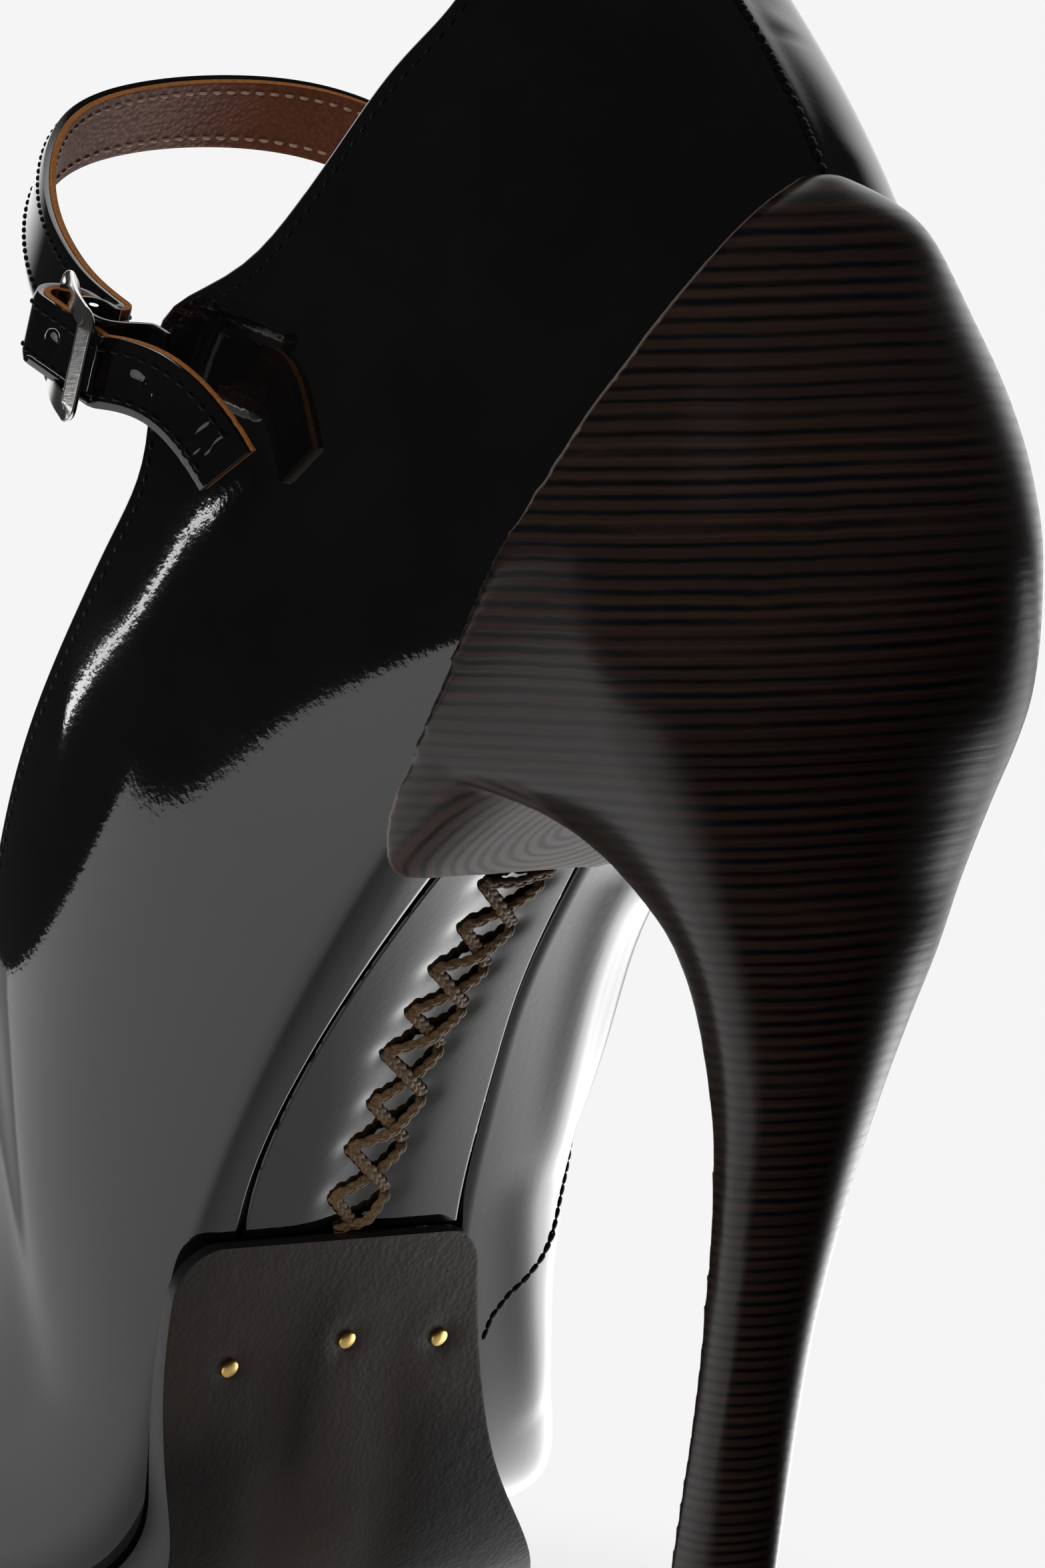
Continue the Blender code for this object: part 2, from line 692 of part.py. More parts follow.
def make_buckle(group):
    """Bowed steel frame: front bar inside the strap's fold, rear bar over its free end."""
    corners = []
    for share in np.linspace(0, 1, 9):
        bow = FRAME_BOW * math.sin(math.pi * share)
        place = FRAME_FRONT + (FRAME_REAR - FRAME_FRONT) * share
        corners.append((place, FRAME_RISE * share ** 2 + bow))
    top = [at_buckle(a, out, FRAME_HALF) for a, out in corners]
    base = [at_buckle(a, out, -FRAME_HALF) for a, out in corners[::-1]]
    rear = [at_buckle(*corners[-1], FRAME_HALF * t) for t in (0.6, 0.0, -0.6)]
    front = [at_buckle(*corners[0], FRAME_HALF * t) for t in (-0.6, 0.0, 0.6)]
    path = np.array(top + rear + base + front)
    ways = np.roll(path, -1, axis=0) - np.roll(path, 1, axis=0)
    leans = [np.cross(way, BUCKLE_OUT) for way in ways]
    return ribbon("buckle", path, leans, (FRAME_WIDE, FRAME_THICK), group, closed=True)


def make_buckle_pin(group):
    """Straight pin across the frame that the tab is folded round."""
    length = 2 * FRAME_HALF - FRAME_WIDE - 2 * FIT_GAP
    bpy.ops.mesh.primitive_cylinder_add(vertices=12, radius=PIN_RADIUS * MM, depth=length * MM)
    pin = bpy.context.object
    pin.name = "buckle_pin"
    pin.matrix_world = Matrix.Translation(Vector(at_buckle(PIN_AT, 0.0) * MM)) @ (
        Vector(BUCKLE_WIDE).to_track_quat("Z", "Y").to_matrix().to_4x4())
    move_to(pin, group)
    return pin


def make_buckle_tab(group):
    """Short tab from the lateral quarter, folded round the buckle's pin."""
    radius = PIN_RADIUS + FIT_GAP + TAB_THICK / 2
    arc = [(PIN_AT - radius * math.sin(a), radius * math.cos(a)) for a in np.linspace(0, math.pi, 7)]
    lie = ((TAB_REAR, TAB_LOW), ((TAB_REAR + TAB_BEND) / 2, TAB_LOW), (TAB_BEND, TAB_LOW),
           (TAB_BEND, radius), (TAB_BEND / 2, radius), arc[0])
    path = spline([at_buckle(*place, TAB_ACROSS) for place in lie], 10)
    path += [at_buckle(*place, TAB_ACROSS) for place in (*arc[1:], (PIN_AT + TAB_FOLD, -radius))]
    return ribbon("buckle_tab", path, [BUCKLE_WIDE] * len(path), (TAB_WIDTH, TAB_THICK), group)


def move_to(obj, group):
    """Keep an object in one collection only."""
    for old in list(obj.users_collection):
        old.objects.unlink(obj)
    group.objects.link(obj)


def nail_peg(name, row, radius, length, group):
    """Round peg that ends level with the outsole's underside at one nail's place."""
    up = along(row.u)[1]
    centre = bottom_point(row.u, row.y) + up * (length / 2 - SOLE_AT["thick"](row.u) - FIT_GAP)
    bpy.ops.mesh.primitive_cylinder_add(vertices=16, radius=radius * MM, depth=length * MM)
    peg = bpy.context.object
    peg.name = name
    peg.matrix_world = Matrix.Translation(Vector(centre * MM)) @ (
        Vector(up).to_track_quat("Z", "Y").to_matrix().to_4x4())
    move_to(peg, group)
    return peg


def make_nails(group, cutters, sole):
    """Three brass nails set flush across the back of the outsole."""
    depth = NAIL_LENGTH + FIT_GAP
    for row in NAILS:
        nail_peg(row.name, row, NAIL_RADIUS, NAIL_LENGTH, group)
        hole = nail_peg(row.name + "_cutter", row, NAIL_RADIUS + FIT_GAP, 2 * depth, cutters)
        hole.location -= Vector(along(row.u)[1]) * depth * MM
        cut = sole.modifiers.new(row.name + "_hole", "BOOLEAN")
        cut.operation = "DIFFERENCE"
        cut.object = hole


class Finish(NamedTuple):
    """Surface of one piece."""

    colour: tuple
    roughness: float
    metallic: float = 0.0


PATENT = Finish((0.010, 0.010, 0.011), 0.10)
STEEL = Finish((0.62, 0.61, 0.59), 0.32, 1.0)
BRASS = Finish((0.80, 0.56, 0.24), 0.28, 1.0)
FINISHES = {
    "upper": PATENT,
    "insole": Finish((0.28, 0.12, 0.06), 0.60),
    "waist_cover": PATENT,
    "outsole": Finish((0.050, 0.040, 0.034), 0.48),
    "heel": Finish((0.030, 0.022, 0.019), 0.34),
    "strap": PATENT,
    "buckle_tab": PATENT,
    "buckle": STEEL,
    "buckle_pin": STEEL,
    "nail_lateral": BRASS,
    "nail_middle": BRASS,
    "nail_medial": BRASS,
}


def dress(obj):
    """Give a piece its own surface and smooth shading across its round faces."""
    finish = FINISHES[obj.name]
    surface = bpy.data.materials.new(obj.name + "_surface")
    surface.use_nodes = True
    shader = surface.node_tree.nodes["Principled BSDF"]
    shader.inputs["Base Color"].default_value = (*finish.colour, 1.0)
    shader.inputs["Roughness"].default_value = finish.roughness
    shader.inputs["Metallic"].default_value = finish.metallic
    obj.data.materials.append(surface)
    obj.data.shade_smooth()


def stand_at_origin(parts, cutters):
    """Move all pieces together so that the shoe's box stands centred on the origin."""
    bpy.context.view_layer.update()
    corners = np.array([obj.matrix_world @ Vector(corner)
                        for obj in parts.objects for corner in obj.bound_box])
    low, high = corners.min(axis=0), corners.max(axis=0)
    middle = Vector((low + high) / 2)
    for obj in (*parts.objects, *cutters.objects):
        obj.location -= Vector((middle.x, middle.y, low[2]))


def main():
    """Build the shoe."""
    for obj in list(bpy.data.objects):
        bpy.data.objects.remove(obj, do_unlink=True)
    parts = bpy.data.collections.new(OBJECT_NAME)
    cutters = bpy.data.collections.new(OBJECT_NAME + "_cutters")
    for group in (parts, cutters):
        bpy.context.scene.collection.children.link(group)
    last = make_last(cutters)
    make_upper(parts)
    make_insole(parts)
    make_waist_cover(parts)
    sole = make_outsole(parts)
    make_heel(parts, cutters, last)
    make_strap(parts)
    make_buckle_tab(parts)
    make_buckle(parts)
    make_buckle_pin(parts)
    make_nails(parts, cutters, sole)
    hide_cutters(cutters)
    for obj in parts.objects:
        dress(obj)
    stand_at_origin(parts, cutters)


main()
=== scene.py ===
"""Looks of a high-heeled patent mary jane, left shoe, on a heel of layered wood.

The toe points to -X, the lateral side to -Y and up is +Z. Tables and sizes are in
millimetres from the reference point under the ankle that the shoe was drawn from.
"""
import logging
import math
from dataclasses import dataclass
from enum import Enum
from typing import Callable, Dict, List, NamedTuple, Optional, Sequence, Tuple, Union

import bpy
import numpy as np
from mathutils import Matrix, Vector
from mathutils.bvhtree import BVHTree
from mathutils.kdtree import KDTree


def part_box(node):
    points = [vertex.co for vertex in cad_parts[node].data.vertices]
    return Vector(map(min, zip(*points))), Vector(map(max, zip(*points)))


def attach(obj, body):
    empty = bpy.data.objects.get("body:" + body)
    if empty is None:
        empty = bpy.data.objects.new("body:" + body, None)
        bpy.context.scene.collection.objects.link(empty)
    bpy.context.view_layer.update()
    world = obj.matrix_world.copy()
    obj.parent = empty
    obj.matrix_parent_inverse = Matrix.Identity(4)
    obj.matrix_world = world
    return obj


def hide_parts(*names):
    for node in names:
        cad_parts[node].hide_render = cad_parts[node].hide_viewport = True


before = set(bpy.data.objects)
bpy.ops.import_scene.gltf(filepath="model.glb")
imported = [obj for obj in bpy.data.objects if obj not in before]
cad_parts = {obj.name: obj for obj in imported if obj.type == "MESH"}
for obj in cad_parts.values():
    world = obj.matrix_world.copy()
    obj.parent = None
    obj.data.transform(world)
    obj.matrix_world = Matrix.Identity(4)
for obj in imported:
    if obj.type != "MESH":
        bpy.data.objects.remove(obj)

LOG = logging.getLogger("mary_jane")
MM = 0.001
ROOT = "root"
Array = np.ndarray
Number = Union[float, Array]
Pair = Tuple[float, float]
Triple = Tuple[float, float, float]
Colour = Triple
Bevel = Tuple[float, int, float]
Place = Callable[[Array, Array], Array]
Piece = bpy.types.Object
Material = bpy.types.Material


class Slot(Enum):
    """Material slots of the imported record."""

    UPPER = "upper_patent"
    INSOLE = "insole_leather"
    COVER = "cover_patent"
    SOLE = "sole_leather"
    HEEL = "heel_wood"
    STRAP = "strap_patent"
    TAB = "tab_patent"
    BUCKLE = "buckle_steel"
    NAIL = "nail_brass"


class Side(Enum):
    """Sides of the left shoe, as the sign of Y."""

    LATERAL = -1
    MEDIAL = 1


class Foot(NamedTuple):
    """One section of the last: feather line, turned-in margin and swell of the wall."""

    u: float
    x: float
    z: float
    axis: float
    lateral: float
    medial: float
    margin_lateral: float
    margin_medial: float
    low: float
    high: float


FOOT = (
    Foot(0.00, 18.5, 127.5, 0.0, 22.5, 22.5, 12.0, 12.0, 6.0, 8.5),
    Foot(0.08, 11.0, 125.0, 0.0, 23.5, 23.5, 12.0, 12.0, 3.5, 5.0),
    Foot(0.18, -5.0, 118.5, 0.0, 24.0, 24.0, 12.0, 13.0, 2.0, 3.0),
    Foot(0.30, -28.0, 104.5, 0.0, 23.0, 23.4, 10.5, 17.6, 2.5, 3.5),
    Foot(0.40, -46.0, 87.5, 0.0, 21.5, 24.3, 7.0, 15.8, 3.5, 4.0),
    Foot(0.50, -64.5, 64.0, 0.5, 21.5, 30.8, 4.5, 16.8, 5.0, 5.0),
    Foot(0.58, -76.5, 44.0, 3.0, 22.5, 32.3, 8.0, 14.3, 6.0, 6.0),
    Foot(0.66, -84.5, 28.0, 8.2, 25.0, 32.8, 9.0, 10.8, 6.5, 6.4),
    Foot(0.74, -97.0, 15.5, 12.6, 31.0, 40.0, 10.0, 14.0, 4.6, 5.4),
    Foot(0.82, -118.0, 11.5, 14.5, 36.5, 40.0, 10.0, 12.0, 6.5, 8.0),
    Foot(0.91, -150.0, 11.0, 14.5, 36.5, 35.0, 9.0, 9.0, 11.0, 10.0),
    Foot(1.00, -184.0, 16.0, 13.5, 32.0, 31.0, 8.0, 8.0, 15.0, 11.0),
)


class Top(NamedTuple):
    """One section of the topline, collar to throat."""

    u: float
    x: float
    z: float
    axis: float
    lateral: float
    medial: float


TOP = (
    Top(0.00, -16.5, 193.0, 0.0, 15.5, 14.5),
    Top(0.08, -17.5, 190.0, 0.0, 17.5, 16.0),
    Top(0.13, -19.5, 183.5, 0.0, 21.5, 19.0),
    Top(0.18, -26.5, 176.8, 0.0, 24.5, 22.0),
    Top(0.24, -39.0, 164.5, 0.0, 26.5, 25.0),
    Top(0.27, -47.5, 157.8, 0.0, 27.6, 26.5),
    Top(0.30, -60.0, 154.5, 0.0, 28.4, 27.0),
    Top(0.345, -61.8, 141.0, 0.0, 28.8, 27.0),
    Top(0.40, -70.0, 130.0, 0.0, 28.8, 27.0),
    Top(0.50, -86.5, 111.5, 0.5, 27.5, 26.0),
    Top(0.58, -98.0, 95.0, 2.0, 26.0, 25.0),
    Top(0.66, -107.0, 80.0, 4.6, 24.0, 23.0),
    Top(0.74, -114.0, 68.0, 7.8, 22.0, 21.5),
    Top(0.82, -119.0, 60.0, 10.0, 20.0, 20.0),
    Top(0.91, -123.0, 54.0, 11.5, 18.0, 18.0),
    Top(1.00, -125.0, 51.0, 12.0, 16.0, 16.0),
)


class Sole(NamedTuple):
    """One section of the outsole: thickness and overhang beyond the feather."""

    u: float
    thick: float
    over_lateral: float
    over_medial: float


SOLE = (
    Sole(0.52, 1.0, 3.3, -15.2),
    Sole(0.58, 1.8, 1.8, -13.0),
    Sole(0.64, 3.2, 0.7, -12.6),
    Sole(0.70, 6.2, -3.0, -11.0),
    Sole(0.78, 10.4, -3.5, -3.5),
    Sole(0.86, 11.5, -1.0, -1.0),
    Sole(1.00, 9.0, 0.5, 0.5),
)


class HeelSlice(NamedTuple):
    """One level of the wooden heel, front to back."""

    z: float
    front: float
    widest: float
    back: float
    half: float
    front_half: float
    hollow: float


HEEL = (
    HeelSlice(0.0, -22.0, -17.0, -12.0, 5.6, 4.8, 0.6),
    HeelSlice(16.0, -18.0, -13.0, -8.6, 5.2, 4.2, 0.8),
    HeelSlice(31.0, -14.2, -9.2, -5.2, 5.0, 4.0, 1.0),
    HeelSlice(49.0, -9.6, -4.6, -1.2, 5.3, 4.2, 1.0),
    HeelSlice(67.0, -6.0, 0.0, 5.0, 6.9, 4.9, 1.2),
    HeelSlice(76.0, -4.8, 2.5, 8.6, 8.4, 6.0, 1.4),
    HeelSlice(84.0, -4.6, 4.0, 11.7, 10.9, 7.4, 1.6),
    HeelSlice(91.5, -5.6, 5.0, 14.5, 13.9, 9.4, 2.0),
    HeelSlice(97.0, -8.2, 5.0, 16.0, 16.2, 12.0, 2.0),
    HeelSlice(102.0, -12.0, 4.6, 18.0, 18.6, 15.0, 1.5),
    HeelSlice(106.0, -16.0, 4.0, 19.6, 20.8, 20.0, 1.0),
    HeelSlice(109.0, -26.5, 3.4, 21.0, 22.6, 24.2, 0.0),
    HeelSlice(115.0, -22.0, 2.6, 23.4, 25.0, 25.8, 0.0),
    HeelSlice(122.0, -16.8, 1.6, 24.7, 26.2, 26.2, 0.0),
    HeelSlice(129.0, -11.8, 1.0, 25.2, 26.6, 26.4, 0.0),
    HeelSlice(136.0, -6.0, 1.0, 24.3, 25.8, 25.6, 0.0),
    HeelSlice(143.0, -1.2, 1.4, 22.1, 24.0, 23.9, 0.0),
    HeelSlice(150.0, 2.6, 3.0, 19.1, 20.4, 20.3, 0.0),
    HeelSlice(156.0, 5.2, 6.0, 16.0, 15.8, 15.7, 0.0),
    HeelSlice(161.0, 5.8, 7.8, 13.6, 10.6, 10.2, 0.0),
    HeelSlice(164.6, 5.4, 6.8, 9.6, 4.4, 4.0, 0.0),
    HeelSlice(165.5, 5.2, 6.2, 8.2, 1.8, 1.5, 0.0),
)


class Bend(NamedTuple):
    """One cage point of the strap's loose loop and its width direction there."""

    x: float
    y: float
    z: float
    lean_x: float
    lean_z: float


STRAP_LOOP = (
    Bend(-74.0, 27.5, 163.0, 0.60, 0.80),
    Bend(-90.0, 24.0, 174.0, 0.62, 0.78),
    Bend(-98.5, 12.0, 176.5, 0.62, 0.78),
    Bend(-100.0, -2.5, 175.5, 0.60, 0.80),
    Bend(-97.3, -13.4, 172.5, 0.55, 0.84),
    Bend(-88.4, -22.4, 166.0, 0.48, 0.88),
    Bend(-78.0, -29.0, 160.0, 0.42, 0.91),
)


def unit(vectors: Array) -> Array:
    """The vectors at length one."""
    return vectors / np.linalg.norm(vectors, axis=-1, keepdims=True)


def soft_step(values: Array, low: float, high: float) -> Array:
    """Smooth rise from 0 at low to 1 at high."""
    share = np.clip((values - low) / (high - low), 0.0, 1.0)
    return share * share * (3 - 2 * share)


def bell(values: Array, width: float) -> Array:
    """Bell curve of one at zero, falling off over the width."""
    return np.exp(-(values / width) ** 2)


def square_to(ways: Array, axis: Array) -> Array:
    """The ways turned square to an axis, at length one."""
    return unit(ways - axis * np.sum(ways * axis, -1, keepdims=True))


def runs_along(line: Array) -> Array:
    """Distance along a line at each of its points."""
    return np.concatenate([[0.0], np.cumsum(np.linalg.norm(np.diff(line, axis=0), axis=1))])


def read_off(at: Array, runs: Array, values: Array) -> Array:
    """Rows of values at distances along the line that they were noted on."""
    return np.stack([np.interp(at, runs, column) for column in values.T], -1)


def ease_weights(reach: float, half: int) -> Array:
    """Weights that ease a bend over a reach of samples, half of them to each side."""
    weights = np.exp(-0.5 * (np.arange(-half, half + 1) / reach) ** 2)
    return weights / weights.sum()


def spline_weights(count: int, at: Array) -> Array:
    """Weights of a clamped cubic curve's cage points.

    Args:
        count: Number of cage points.
        at: Places along the curve, from 0 to 1.

    Returns:
        One row of weights for each place.
    """
    spans = count - 3
    knots = [0.0] * 3 + list(range(spans + 1)) + [float(spans)] * 3
    rows = []
    for place in np.atleast_1d(at) * spans:
        k = int(np.clip(int(place), 0, spans - 1)) + 3
        row = [np.eye(count)[j] for j in range(k - 3, k + 1)]
        for r in range(1, 4):
            for j in range(3, r - 1, -1):
                low = knots[j + k - 3]
                share = (place - low) / (knots[j + 1 + k - r] - low)
                row[j] = (1 - share) * row[j - 1] + share * row[j]
        rows.append(row[3])
    return np.array(rows)


class Curves:
    """Smooth curves through the columns of one table, without overshoot."""

    FINE = 2000

    def __init__(self, rows: Sequence[NamedTuple], ease: float) -> None:
        """Draw each column finely and ease its bends.

        Args:
            rows: The table.
            ease: Reach of the easing along the table's first column.
        """
        keys = np.array([row[0] for row in rows])
        steps = np.diff(keys)
        self.at = np.linspace(keys[0], keys[-1], self.FINE + 1)
        i = np.clip(np.searchsorted(keys, self.at) - 1, 0, len(steps) - 1)
        h = steps[i]
        t = (self.at - keys[i]) / h
        self.values: Dict[str, Array] = {}
        for name in rows[0]._fields[1:]:
            values = np.array([getattr(row, name) for row in rows])
            rise = np.diff(values) / steps
            slope = np.concatenate([rise, rise[-1:]])
            same = rise[:-1] * rise[1:] > 0
            total = np.where(same, rise[:-1] + rise[1:], 1.0)
            slope[1:-1] = np.where(same, 2 * rise[:-1] * rise[1:] / total, 0.0)
            line = ((1 + 2 * t) * (1 - t) ** 2 * values[i] + t * (1 - t) ** 2 * h * slope[i]
                    + t * t * (3 - 2 * t) * values[i + 1] + t * t * (t - 1) * h * slope[i + 1])
            self.values[name] = self.eased(line, ease / (self.at[1] - self.at[0]))

    @staticmethod
    def eased(line: Array, reach: float) -> Array:
        """The line with its bends eased over a reach of samples, its ends kept.

        Args:
            line: The line, closely sampled.
            reach: Reach of the easing, in samples.

        Returns:
            The eased line.
        """
        half = int(3 * reach) + 1
        before = 2 * line[0] - line[half:0:-1]
        after = 2 * line[-1] - line[-2:-half - 2:-1]
        return np.convolve(np.concatenate([before, line, after]), ease_weights(reach, half), "valid")

    def __call__(self, name: str, at: Number) -> Array:
        """Value of one column.

        Args:
            name: Column of the table.
            at: Places along the table's first column.

        Returns:
            The column's smooth value at each place.
        """
        return np.interp(at, self.at, self.values[name])


@dataclass
class Last:
    """Form that the upper is pulled over: bottom, feather line, walls and topline."""

    heel_round: float = 0.16
    toe_round: float = 0.24
    collar_round: float = 0.10
    throat_round: float = 0.30
    margin_knee: float = 0.35
    feather_swell: float = 0.25
    low_share: float = 0.30
    high_share: float = 0.68
    foot_ease: float = 0.020
    top_ease: float = 0.012
    wall_ease: float = 0.11
    round_steps: int = 1440

    def __post_init__(self) -> None:
        """Prepare the smooth tables."""
        self.foot, self.top = Curves(FOOT, self.foot_ease), Curves(TOP, self.top_ease)
        self.fine_u = np.linspace(0, 1, 401)
        self.fine_x = self.foot("x", self.fine_u)
        self.round = np.linspace(0, 2 * math.pi, self.round_steps + 1)
        self.eased_cage = self.drawn_cage(self.round)
        reach = self.wall_ease / (self.round[1] - self.round[0])
        half = int(3 * reach)
        weights = ease_weights(reach, half)
        for row, axis in np.ndindex(2, 3):
            line = self.eased_cage[:-1, 3 + row, axis]
            line = np.convolve(np.concatenate([line[-half:], line, line[:half]]), weights, "valid")
            self.eased_cage[:, 3 + row, axis] = np.append(line, line[0])

    @staticmethod
    def turn(theta: Array) -> Tuple[Array, Array]:
        """Section and side sign at angles round the shoe, from heel to toe and back."""
        return (1 - np.cos(theta)) / 2, np.where(np.mod(theta, 2 * math.pi) <= math.pi, -1, 1)

    @staticmethod
    def angle(u: Number, side: Side) -> Array:
        """Angle round the shoe of a section on one side."""
        theta = np.arccos(1 - 2 * np.asarray(u))
        return theta if side is Side.LATERAL else 2 * math.pi - theta

    @staticmethod
    def rounded(u: Array, near: float, far: float) -> Array:
        """Share of the full half width that the round ends leave at a section.

        Args:
            u: Sections of the last.
            near: Length of the rear's rounding.
            far: Length of the front's rounding.

        Returns:
            The share of the width.
        """
        rear = np.clip(1 - u / near, 0, 1)
        front = np.clip((u - 1 + far) / far, 0, 1)
        return np.sqrt(1 - np.maximum(rear, front) ** 2)

    @staticmethod
    def sided(curves: Curves, stem: str, u: Array, side: Array) -> Array:
        """Column of a table that differs between the two sides."""
        return np.where(side < 0, curves(stem + "lateral", u), curves(stem + "medial", u))

    def feather(self, theta: Array) -> Array:
        """Points of the feather line, where the upper turns under.

        Args:
            theta: Angles round the shoe.

        Returns:
            Points in the drawing.
        """
        u, side = self.turn(theta)
        half = self.sided(self.foot, "", u, side) * self.rounded(u, self.heel_round, self.toe_round)
        return np.stack([self.foot("x", u), self.foot("axis", u) + side * half, self.foot("z", u)], -1)

    def topline(self, theta: Array) -> Array:
        """Points of the collar and throat edge.

        Args:
            theta: Angles round the shoe.

        Returns:
            Points in the drawing.
        """
        u, side = self.turn(theta)
        half = self.sided(self.top, "", u, side) * self.rounded(u, self.collar_round, self.throat_round)
        return np.stack([self.top("x", u), self.top("axis", u) + side * half, self.top("z", u)], -1)

    def up(self, u: Array) -> Array:
        """Direction off the bottom, up into the shoe.

        Args:
            u: Sections of the last.

        Returns:
            Unit directions.
        """
        step = 0.004
        low, high = np.maximum(0.0, u - step), np.minimum(1.0, u + step)
        run_x = self.foot("x", high) - self.foot("x", low)
        run_z = self.foot("z", high) - self.foot("z", low)
        return unit(np.stack([run_z, np.zeros_like(run_z), -run_x], -1))

    def outward(self, theta: Array) -> Array:
        """Direction out of the shoe along its bottom.

        Args:
            theta: Angles round the shoe.

        Returns:
            Unit directions.
        """
        step = 0.01
        way = unit(self.feather(theta + step) - self.feather(theta - step))
        return unit(np.cross(self.up(self.turn(theta)[0]), way))

    def bottom(self, u: Array, y: Array) -> Array:
        """Points of the bottom at sections, y off the middle line."""
        u, y = np.broadcast_arrays(u, y)
        return np.stack([self.foot("x", u), y, self.foot("z", u)], -1)

    def on_bottom(self, points: Array) -> Array:
        """The points set level with the curve of the bottom."""
        u = np.interp(-points[..., 0], -self.fine_x, self.fine_u)
        return self.bottom(u, points[..., 1])

    def cage(self, theta: Array) -> Array:
        """Cage points at each angle, the wall's own eased round the shoe.

        Args:
            theta: Angles round the shoe.

        Returns:
            Cage points, six to an angle.
        """
        theta = np.mod(theta, 2 * math.pi)
        at = np.clip(theta / self.round[1], 0, self.round_steps - 1e-9)
        low = at.astype(int)
        share = (at - low)[:, None, None]
        return self.eased_cage[low] * (1 - share) + self.eased_cage[low + 1] * share

    def drawn_cage(self, theta: Array) -> Array:
        """Cage points of the wall as drawn: margin, feather edge, wall, topline.

        Args:
            theta: Angles round the shoe.

        Returns:
            Cage points, six to an angle.
        """
        u, side = self.turn(theta)
        low, high, outward = self.feather(theta), self.topline(theta), self.outward(theta)
        swell = square_to(outward, unit(high - low))
        margin = self.sided(self.foot, "margin_", u, side)[..., None]
        low_swell, high_swell = self.foot("low", u)[..., None], self.foot("high", u)[..., None]
        return np.stack([
            self.on_bottom(low - outward * margin),
            self.on_bottom(low - outward * margin * self.margin_knee),
            low + swell * low_swell * self.feather_swell,
            low + (high - low) * self.low_share + swell * low_swell,
            low + (high - low) * self.high_share + swell * high_swell,
            high,
        ], -2)

    def skin(self, theta: Array, height: Array) -> Array:
        """Points of the outer wall at angles and at shares of its height.

        Args:
            theta: Angles round the shoe.
            height: Shares of the wall's height.

        Returns:
            Points in the drawing.
        """
        theta, height = np.broadcast_arrays(theta, np.clip(height, 0, 1))
        shares, back = np.unique(height, return_inverse=True)
        turns, around = np.unique(theta, return_inverse=True)
        weights = spline_weights(6, shares)[back.reshape(height.shape)]
        return np.einsum("...c,...cx->...x", weights, self.cage(turns)[around.reshape(theta.shape)])

    def normal(self, theta: Array, height: Array) -> Array:
        """Directions straight out of the wall.

        Args:
            theta: Angles round the shoe.
            height: Shares of the wall's height.

        Returns:
            Unit directions.
        """
        turn_step, rise_step = 0.01, 0.012
        round_way = self.skin(theta + turn_step, height) - self.skin(theta - turn_step, height)
        up_way = self.skin(theta, height + rise_step) - self.skin(theta, height - rise_step)
        return unit(np.cross(up_way, round_way))

    def off_skin(self, theta: Array, height: Array, offset: Number) -> Array:
        """Points off the wall, moved out along its normal."""
        return self.skin(theta, height) + self.normal(theta, height) * np.asarray(offset)[..., None]


class BucklePlane:
    """The buckle's own directions: along the strap's free end, across it, and out."""

    CENTRE = np.array([-60.5, -36.4, 150.8])
    FALL = math.radians(23.5)
    LONG = np.array([math.cos(FALL), 0.0, -math.sin(FALL)])
    WIDE = np.array([math.sin(FALL), 0.0, math.cos(FALL)])
    OUT = np.array([0.0, -1.0, 0.0])
    PIN_AT = -0.8
    PIN_RADIUS = 0.5

    @classmethod
    def point(cls, along: Number, out: Number, across: Number = 0.0) -> Array:
        """Points at places along the strap, out of the plane and across.

        Args:
            along: Places along the strap.
            out: Places out of the plane.
            across: Places across.

        Returns:
            Points in the drawing.
        """
        along, out, across = np.broadcast_arrays(along, out, across)
        return (cls.CENTRE + cls.LONG * along[..., None] + cls.OUT * out[..., None]
                + cls.WIDE * across[..., None])


def drawn_at() -> Array:
    """Where the drawing's reference point lies in the frame, from the buckle's pin."""
    low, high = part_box("buckle_pin")
    return np.array((low + high) / 2) / MM - BucklePlane.point(BucklePlane.PIN_AT, 0.0)


SHIFT = drawn_at()


def to_frame(points: Array) -> Array:
    """Points of the drawing in metres in the frame."""
    return (np.asarray(points) + SHIFT) * MM


